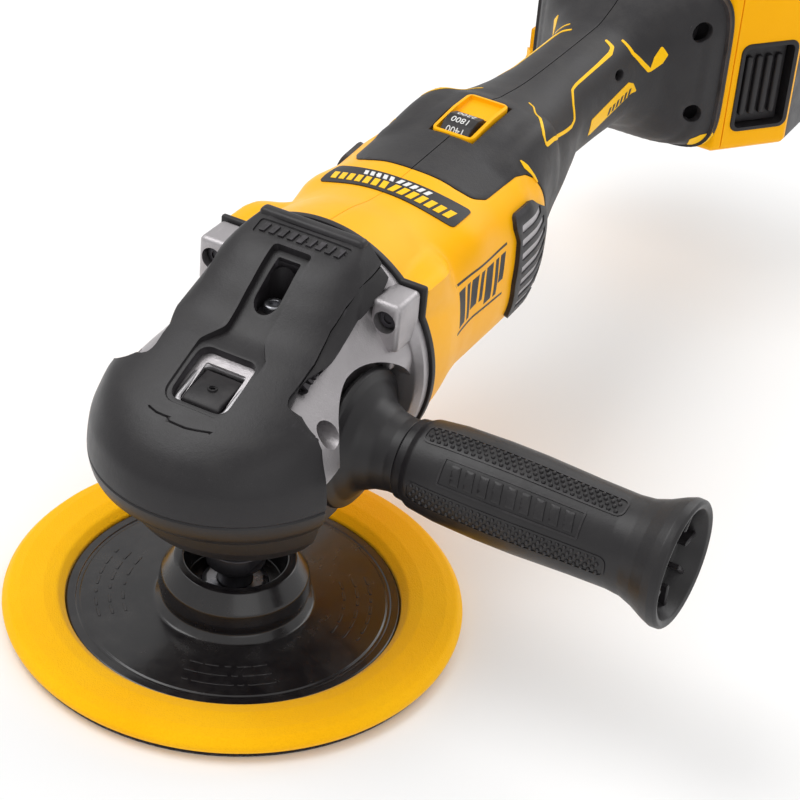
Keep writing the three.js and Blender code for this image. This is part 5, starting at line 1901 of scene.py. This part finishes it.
    def _foot(self) -> None:
        """End wall of the foot, the battery rails and the contact block."""
        flat = np.column_stack([np.full(60, 329.6), np.linspace(0, BodySurface.GIRTH, 60)])
        ring = BODY.place(flat, -0.4)
        right = [(p[0], p[2]) for p in ring]
        outline = right + [(-x, z) for x, z in right[::-1]]
        wall = prism(Axis.Y, outline, 325.4, 329.5)
        wall = combined(wall, block((-30, 320, 104), (30, 340, 132)), Joining.CUT)
        Piece("foot_end_wall", Finishes.BLACK).place(wall)
        x = 46.0
        neck = block((-x, 329.4, 97), (x, 334, 139))
        lip = soften(block((-x, 333.6, 91.5), (x, 337, 144.5)), 0.5, 2)
        rails = combined(combined(neck, lip, Joining.ADD), block((-30, 320, 104), (30, 345, 132)),
                         Joining.CUT)
        Piece("foot_rails", Finishes.BLACK, "housing", ("battery_rails",)).place(rails)
        contact = soften(block((-29.6, 318, 104.4), (29.6, 335, 131.6)), 0.6, 2)
        Piece("contact_block", Finishes.BLACK).place(contact)
        blades = [soften(block((-9, 334, 107.5 + k * 5), (7, 342, 108.5 + k * 5)), 0.2, 2) for k in range(5)]
        made = Piece("contact_blades", Finishes.COPPER).place(joined(blades))
        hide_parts("terminal_block")


# ---------------------------------------------------------------- controls

@dataclass
class Controls:
    """Speed dial, trigger and lock-on button.

    Attributes:
        dial_y: Place of the dial's axis along the tool.
        dial_z: Its height.
        dial_r: Its radius.
        speeds: Numbers round the dial.
        pivot: Place of the trigger's pin, as y and z.
        spring_at: Place of the trigger's spring, as x and y.
    """

    dial_y: float = 160
    dial_z: float = 136.6
    dial_r: float = 10.6
    speeds: tuple[str, ...] = ("600", "1000", "1400", "1800", "2200", "2600")
    pivot: Pair = (284, 103.5)
    spring_at: Pair = (0, 232)

    def build(self) -> None:
        """Make the controls' pieces."""
        self._frame()
        self._dial()
        self._trigger()
        self._lock_on()

    def _frame(self) -> None:
        """Yellow rounded frame with a sunken tray round the dial."""
        outer = prism(Axis.Z, rectangle(-9.5, 9.5, 149.5, 182.5, 3.2), 130, 149)
        above = [(140, 143.9), (150.5, 143.9), (168, 146.1), (190, 146.1), (190, 160), (140, 160)]
        outer = soften(combined(outer, prism(Axis.X, above, -20, 20), Joining.CUT), 0.6, 3, 50)
        tray = prism(Axis.X, [(151, 141.2), (168, 143.2), (181, 144.2), (181, 160), (151, 160)], -8, 8)
        outer = combined(outer, soften(tray, 0.6, 2, 50), Joining.CUT)
        room = cylinder(Axis.X, self.dial_r + 0.6, -7.1, 7.1, (self.dial_y, self.dial_z), 64)
        outer = combined(outer, room, Joining.CUT)
        Piece("dial_surround", Finishes.YELLOW, "housing", ("dial_frame",), 35).place(outer)

    def _dial(self) -> None:
        """Faceted drum with white numbers."""
        drum = turned(Axis.X, [(0, -6.6, 0), (self.dial_r, -6.6, 0.5), (self.dial_r, 6.6, 0.5), (0, 6.6, 0)],
                      (self.dial_y, self.dial_z), 12, 2)
        pins = cylinder(Axis.X, 1.5, -8.4, 8.4, (self.dial_y, self.dial_z), 24)
        Piece("dial_drum", Finishes.BLACK, "dial", ("speed_dial",), 20).place(joined([drum, pins]))
        digits: list[Mesh] = []
        apothem = self.dial_r * math.cos(math.pi / 12)
        first_tilt, facet_angle = 105, 30
        for index, speed in enumerate(self.speeds):
            curve = bpy.data.curves.new("dial_number", "FONT")
            curve.body = speed
            curve.size = 4.6
            curve.extrude = 0.12
            curve.align_x, curve.align_y = "CENTER", "CENTER"
            curve.resolution_u = 3
            holder = bpy.data.objects.new("dial_number", curve)
            bpy.context.scene.collection.objects.link(holder)
            mesh = holder.to_mesh()
            bm = bmesh.new()
            bm.from_mesh(mesh)
            holder.to_mesh_clear()
            bpy.data.objects.remove(holder)
            bpy.data.curves.remove(curve)
            tilt = math.radians(first_tilt - facet_angle * index)
            spin = Matrix.Rotation(math.pi, 4, "Z")
            out = Matrix.Translation((0, 0, apothem + 0.05))
            roll = Matrix.Rotation(tilt, 4, "X")
            bmesh.ops.scale(bm, verts=bm.verts, vec=(0.92, 1, 1))
            bmesh.ops.transform(bm, matrix=Matrix.Translation((0, self.dial_y,
                                                               self.dial_z)) @ roll @ out @ spin,
                                verts=bm.verts)
            digits.append(bm)
        Piece("dial_numbers", Finishes.PRINT, "dial").place(joined(digits))

    def _trigger(self) -> None:
        """Curved trigger under the handle."""
        outline = rounded([(288, 100.5, 2), (288, 106.5, 2), (282, 109, 2), (221, 108, 2), (219, 92, 3),
                           (223, 88.4, 3), (230, 88.2, 6), (240, 92, 12), (262, 93.6, 20)], True, 4)
        blade = soften(prism(Axis.X, outline, -7.6, 7.6), 1.6, 4, 60)
        blade = combined(blade, cylinder(Axis.X, 2.1, -10, 10, self.pivot, 24), Joining.CUT)
        ribs = [soften(block((-5.6, y, 87.4 + max(0, (y - 232)) * 0.22), (5.6, y + 1.2, 92)), 0.4, 2)
                for y in (224, 227.2, 230.4, 233.6)]
        Piece("trigger_blade", Finishes.BLACK, "trigger", ("trigger",), 30).place(joined([blade, *ribs]))
        spring = Piece("trigger_return_spring", Finishes.STEEL, "housing", ("trigger_spring",)).place(
            coil(3.1, 0.8, 108.6, 115.7, 4.5, self.spring_at))
        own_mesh(spring)

    def _lock_on(self) -> None:
        """Ribbed button on the left of the handle."""
        cap = soften(block((-23.6, 235, 113), (-14, 249, 123)), 1.2, 3)
        ribs = [soften(block((-24.0, y, 114.6), (-22.5, y + 0.9, 121.4)), 0.3, 1) for y in (238, 240.6,
                                                                                            243.2, 245.8)]
        Piece("lock_on_cap", Finishes.BLACK, "lock_on", ("lock_on_button",)).place(joined([cap, *ribs]))


# ---------------------------------------------------------------- battery

@dataclass
class BatteryPack:
    """Slide-on battery with a sloping latch end.

    Attributes:
        x0: Low side.
        x1: High side.
        z0: Underside.
        z1: Top.
        slope: Angle of the latch end in degrees.
        seam: Place of the seam between the mouldings.
        end: Rear face.
    """

    x0: float = -55
    x1: float = 70
    z0: float = 73.2
    z1: float = 155.4
    slope: float = 52
    seam: float = 362
    end: float = 393
    foot: float = 46.4
    front: float = 330

    def build(self) -> None:
        """Make the battery's pieces."""
        self._upper()
        self._lower()
        self._latch()

    def _slope_block(self, s0: float, s1: float, d0: float, d1: float, z0: float,
                     z1: float) -> Mesh:
        """Block in the frame of the sloping end: s along it, d into the pack."""
        bm = block((s0, d0, z0), (s1, d1, z1))
        return bm

    def _onto_slope(self, bm: Mesh) -> Mesh:
        """Turn a shape from the slope's own frame into the tool's."""
        matrix = Matrix.Translation((self.foot, self.front, 0)) @ Matrix.Rotation(
            math.radians(self.slope), 4, "Z")
        bmesh.ops.transform(bm, matrix=matrix, verts=bm.verts)
        return bm

    def _upper(self) -> None:
        """Yellow moulding with rail slots, a parting line and a recess for the latch."""
        run = self.x1 - self.foot
        slope_y = self.front + run * math.tan(math.radians(self.slope))
        corners = [(self.x0, self.front + 4, 1), (self.x0 + 4, self.front, 1), (self.foot, self.front, 2.5),
                   (self.x1, slope_y, 3.5), (self.x1, self.seam, 0), (self.x0, self.seam, 0)]
        upper = cushion(corners, self.z0, self.z1, 4.4, self.seam)
        neck = block((self.x0 - 5, 320, 96.5), (46.5, 333.6, 139.5))
        lips = block((self.x0 - 5, 333.1, 91), (46.5, 337.5, 145))
        contacts = block((self.x0 - 5, 320, 104), (30.6, 343, 132))
        for tool in (neck, lips, contacts):
            upper = combined(upper, tool, Joining.CUT)
        cells = block((self.x0 + 2.6, 348.8, self.z0 + 3), (46, 380, self.z1 - 3))
        upper = combined(upper, cells, Joining.CUT)
        recess = prism(Axis.Y, rectangle(8.4, 37.4, 84.4, 127.6, 4), -8, 9)
        upper = combined(upper, self._onto_slope(recess), Joining.CUT)
        groove = self._slope_block(4.3, 4.9, -3, 0.7, self.z0 - 5, self.z1 + 5)
        upper = combined(upper, self._onto_slope(groove), Joining.CUT)
        parting = block((self.x0 - 5, 333.9, self.z0 - 5), (self.x1 + 5, 334.4, self.z0 + 0.5))
        top_line = block((self.x0 - 5, 333.9, self.z1 - 0.5), (self.x1 + 5, 334.4, self.z1 + 5))
        for tool in (parting, top_line):
            upper = combined(upper, tool, Joining.CUT)
        Piece("battery_upper", Finishes.YELLOW, "battery", ("battery_case",), 34).place(upper)
        lining = soften(prism(Axis.Y, rectangle(7.8, 38.0, 83.8, 128.2, 4.4), -0.7, 8.9), 0.6, 3, 60)
        hollow = soften(prism(Axis.Y, rectangle(9.8, 35.6, 85.8, 126.2, 2.8), -8, 8.2), 0.4, 2, 60)
        lining = combined(lining, hollow, Joining.CUT)
        Piece("latch_lining", Finishes.BLACK, "battery").place(self._onto_slope(lining))

    def _lower(self) -> None:
        """Black moulding that closes the pack, with ribs on its sides."""
        bevel = 6
        corners = [(self.x0, self.seam + 0.4, 0), (self.x1, self.seam + 0.4, 0),
                   (self.x1, self.end - bevel, 3), (self.x1 - bevel, self.end, 3),
                   (self.x0 + bevel, self.end, 3), (self.x0, self.end - bevel, 3)]
        lower = cushion(corners, self.z0, self.z1, 4.4, self.seam + 0.4)
        cells = block((self.x0 + 2.6, 350, self.z0 + 3), (46, self.end - 3, self.z1 - 3))
        lower = combined(lower, cells, Joining.CUT)
        ribs = [soften(block((self.x0 + 14 + k * 12, 366, self.z0 - 0.5),
                             (self.x0 + 20 + k * 12, 386, self.z0 + 2)),
                       0.6, 2) for k in range(9)]
        top = [soften(block((self.x0 + 14 + k * 12, 366, self.z1 - 2),
                            (self.x0 + 20 + k * 12, 386, self.z1 + 0.5)),
                      0.6, 2) for k in range(9)]
        Piece("battery_lower", Finishes.BLACK, "battery", ("battery_lower_case",), 34).place(
            joined([lower, *ribs, *top]))

    def _latch(self) -> None:
        """Ribbed latch button in the recess."""
        plate = soften(self._slope_block(10.2, 33.8, 3.4, 5.6, 86.6, 124.4), 0.6, 3)
        ribs = [soften(self._slope_block(12.4 + k * 5.2, 15.6 + k * 5.2, 0.9, 4.2, 91, 121), 1.2, 4)
                for k in range(4)]
        whole = joined([self._onto_slope(part) for part in (plate, *ribs)])
        Piece("latch_button", Finishes.BLACK, "latch", ("battery_latch",), 30).place(whole)


# ---------------------------------------------------------------- side handle

@dataclass
class SideHandle:
    """Side handle: glossy core with a dished flange, soft grip over it.

    Attributes:
        y: Place of its axis along the tool.
        z: Height of its axis.
        end: Far end.
    """

    y: float = 18.8
    z: float = 85
    end: float = 170

    PROFILE = ((61, 15.4), (64.5, 15.8), (67, 17.2), (78, 18.5), (100, 19.0), (116, 18.7), (132, 18.0),
               (147, 17.7), (153, 18.2), (158, 20.0), (163, 22.6), (167, 24))

    def build(self) -> None:
        """Make the handle's pieces."""
        at = (self.y, self.z)
        core = turned(Axis.X, [(5.3, 34, 0), (16, 34, 0.5), (17.5, 35.0, 1), (25.6, 36.2, 1.5), (27.8, 38.2,
                                                                                                 1.2),
                               (27.2, 40.2, 1.2), (23.4, 41.6, 5), (18.4, 45.4, 8), (15.4, 51.5, 8),
                               (14.4, 57, 4),
                               (14.4, 60.6, 0.4), (11.4, 60.9, 0), (11.4, 158, 0), (5.3, 158, 0)], at, 96, 7)
        Piece("side_handle_flange", Finishes.GLOSS, "housing", ("side_handle_core",), 35).place(core)
        end = self.end
        grip = turned(Axis.X, [(11.7, 60.9, 0), (14.9, 60.9, 0.5), (15.4, 61.4, 0.4), (15.8, 64.5, 2),
                               (17.2, 67, 4),
                               (18.5, 78, 12), (19.0, 95, 16), (18.9, 110, 16), (18.0, 132, 20),
                               (17.7, 147, 8),
                               (18.3, 153, 8), (20.2, 158.4, 6), (22.8, 163.6, 4), (24.1, 167, 1.5),
                               (24, end - 0.2, 1.0), (22.9, end + 0.8, 0.8), (20.8, end, 0.8),
                               (17.6, 161, 2), (15.6, 159.5, 0), (11.7, 159.5, 0)], at, 96, 5)
        ribs = [self._spoke(k) for k in range(8)]
        Piece("side_handle_grip_body", Finishes.GRIP, "housing", ("side_handle_grip",), 35).place(
            joined([grip, *ribs]))
        self._panels()

    def _spoke(self, index: int) -> Mesh:
        """One rib across the hollow end."""
        rib = soften(block((159, -0.9, 11), (166.2, 0.9, 20.4)), 0.4, 1)
        turn = Matrix.Rotation(index * math.pi / 4, 4, "X")
        bmesh.ops.transform(rib, matrix=Matrix.Translation((0, self.y, self.z)) @ turn, verts=rib.verts)
        return rib

    def _wrapped(self, points: np.ndarray, turn: float, lift: float) -> np.ndarray:
        """Points of a flat drawing wrapped round the grip."""
        radius = np.interp(points[:, 0], [p[0] for p in self.PROFILE], [p[1] for p in self.PROFILE]) + lift
        angle = turn + points[:, 1] / 19.0
        return np.column_stack([points[:, 0], self.y + radius * np.cos(angle),
                                self.z + radius * np.sin(angle)])

    def _panels(self) -> None:
        """Outlined panels with rows of raised dots, three round the grip and two along it."""
        frames, dots = [], []
        axis = lambda p: Vector((p.x, self.y, self.z))
        for degrees, x0, x1, wide, rows in ((104, 68, 148, 4.6, 4), (182, 68, 148, 4.6, 4),
                                            (284, 68, 148, 4.6, 4),
                                            (2, 68, 148, 4.6, 4), (143, 80, 136, 5.6, 0),
                                            (323, 80, 136, 5.6, 0)):
            turn = math.radians(degrees)
            outline = rectangle(x0, x1, -wide, wide, 3 if rows else 1, 4)
            ring = trimmed(outline, [shifted(outline, 0.8)], 1.2,
                           lambda flat: self._wrapped(flat, turn, 0.35))
            frames.append(walled(outwards(ring, axis), 0.8, 0.0))
            for k in range(0 if rows else 9):
                x = x0 + 4 + k * 5.6
                bar = [(x, -3.6), (x + 3.4, -3.6), (x + 4.6, 3.6), (x + 1.2, 3.6)]
                mark = trimmed(bar, [], 1.4, lambda flat: self._wrapped(flat, turn, 0.4))
                frames.append(walled(outwards(mark, axis), 0.8, 0.1, 1))
            for row in range(rows):
                for col in range(27):
                    x = x0 + 2.6 + col * 2.8 + (row % 2) * 1.4
                    if x > x1 - 2.2:
                        continue
                    spot = self._wrapped(np.array([[x, -2.85 + row * 1.9]]), turn, 0.0)[0]
                    dot = bmesh.new()
                    bmesh.ops.create_uvsphere(dot, u_segments=8, v_segments=5, radius=0.85)
                    bmesh.ops.translate(dot, verts=dot.verts, vec=spot)
                    dots.append(dot)
        Piece("grip_panels", Finishes.GRIP, "housing", (), 50).place(joined(frames))
        Piece("grip_dots", Finishes.GRIP, "housing", (), 60).place(joined(dots))


# ---------------------------------------------------------------- inner works

def dress_inner_works() -> None:
    """Give every CAD node that stays its own finish."""
    table = {
        Finishes.STEEL: ("hub_insert", "bevel_ring_gear", "bevel_pinion_shaft", "intermediate_gear",
                         "rotor_shaft", "spindle_bearing_lower", "spindle_bearing_upper",
                         "intermediate_bearing_front", "intermediate_bearing_rear", "rotor_bearing_front",
                         "rotor_bearing_rear", "lock_pin", "trigger_pin",
                         "side_handle_stud"),
        Finishes.DARK: ("rotor_core", "cell_pack"),
        Finishes.BLACK: ("cooling_fan", "switch_block"),
        Finishes.CAST: ("bearing_plate",),
        Finishes.COPPER: ("stator",),
        Finishes.BOARD: ("speed_sensor_board",),
    }
    board = soften(block((-20, 157, 90), (20, 180, 92)), 0.2, 1)
    parts = [soften(block((x - 5, y - 3, 92), (x + 5, y + 3, 92 + tall)), 0.4, 2)
             for x, y,
             tall in ((-13, 162, 5), (0, 162, 8), (13, 162, 5), (-13, 174, 7), (0, 174, 4), (13, 174, 9))]
    Piece("speed_control_board", Finishes.BOARD, "housing", ("control_board",)).place(joined([board, *parts]))
    for finish, names in table.items():
        for name in names:
            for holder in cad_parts[name].material_slots:
                holder.material = finish.material()


# ---------------------------------------------------------------- stage

@dataclass
class Stage:
    """Floor, lights and camera.

    Attributes:
        lens: Focal length in millimetres.
        place: Camera position in metres.
        azimuth: Camera azimuth in degrees.
        elevation: Camera elevation in degrees.
        roll: Camera roll in degrees.
    """

    lens: float = 108.26
    place: tuple[float, float, float] = (0.37910, -0.62498, 0.58902)
    azimuth: float = 26.777
    elevation: float = 33.710
    roll: float = 5.329

    def build(self) -> None:
        """Make the floor, the lights and the camera."""
        scene = bpy.context.scene
        scene.view_settings.view_transform = "Standard"
        self._camera(scene)
        self._floor()
        self._lights(scene)

    def _camera(self, scene: bpy.types.Scene) -> None:
        """Aim the camera."""
        a, e, r = (math.radians(v) for v in (self.azimuth, self.elevation, self.roll))
        back = Vector((math.sin(a) * math.cos(e), -math.cos(a) * math.cos(e), math.sin(e)))
        level = Vector((math.cos(a), math.sin(a), 0))
        rise = back.cross(level)
        right = math.cos(r) * level + math.sin(r) * rise
        up = -math.sin(r) * level + math.cos(r) * rise
        data = bpy.data.cameras.new("camera")
        data.lens = self.lens
        data.sensor_width = 36
        data.clip_end = 20
        camera = bpy.data.objects.new("camera", data)
        camera.matrix_world = Matrix((
            (right.x, up.x, back.x, self.place[0]), (right.y, up.y, back.y, self.place[1]),
            (right.z, up.z, back.z, self.place[2]), (0, 0, 0, 1)))
        scene.collection.objects.link(camera)
        scene.camera = camera

    def _floor(self) -> None:
        """Pale floor under the tool."""
        bm = bmesh.new()
        bmesh.ops.create_grid(bm, x_segments=1, y_segments=1, size=6)
        mesh = bpy.data.meshes.new("floor")
        bm.to_mesh(mesh)
        bm.free()
        material = bpy.data.materials.new("studio_floor")
        material.use_nodes = True
        material.node_tree.nodes.clear()
        g = Graph(material.node_tree)
        place = g.add("ShaderNodeTexCoord").outputs["Object"]
        cloud = g.add("ShaderNodeTexNoise", None, Vector=place, Scale=2.0, Detail=3.0)
        colour = g.blend(cloud.outputs[0], linear("f7f7f7"), linear("f4f4f4"))
        shader = g.add("ShaderNodeBsdfPrincipled", None, Base_Color=colour, Roughness=0.9)
        g.add("ShaderNodeOutputMaterial", None, Surface=shader.outputs[0])
        mesh.materials.append(material)
        floor = bpy.data.objects.new("floor", mesh)
        bpy.context.scene.collection.objects.link(floor)

    def _lights(self, scene: bpy.types.Scene) -> None:
        """Soft boxes and a bright surround."""
        world = bpy.data.worlds.new("studio")
        world.use_nodes = True
        world.node_tree.nodes["Background"].inputs[0].default_value = (1, 1, 1, 1)
        world.node_tree.nodes["Background"].inputs[1].default_value = 0.78
        scene.world = world
        for name, place, size, watts in (
                ("key", (-0.7, -0.2, 1.5), 1.0, 11.0), ("fill", (1.3, -1.0, 0.9), 1.2, 3.0),
                ("rear", (0.3, 1.6, 1.2), 1.2, 9.0)):
            data = bpy.data.lights.new(name, "AREA")
            data.energy = watts
            data.size = size
            light = bpy.data.objects.new(name, data)
            light.location = place
            aim = Vector((0.03, 0.12, 0.08)) - Vector(place)
            light.rotation_euler = aim.to_track_quat("-Z", "Y").to_euler()
            scene.collection.objects.link(light)


def main() -> None:
    """Build the whole polisher."""
    logging.basicConfig(level=logging.INFO, format="%(name)s %(message)s")
    for part in (Stage(), PolishingPad(), GearHead(), HousingShells(), Controls(), BatteryPack(),
                 SideHandle()):
        part.build()
        log.info("%s done", type(part).__name__)
    dress_inner_works()


if __name__ == "__main__":
    main()
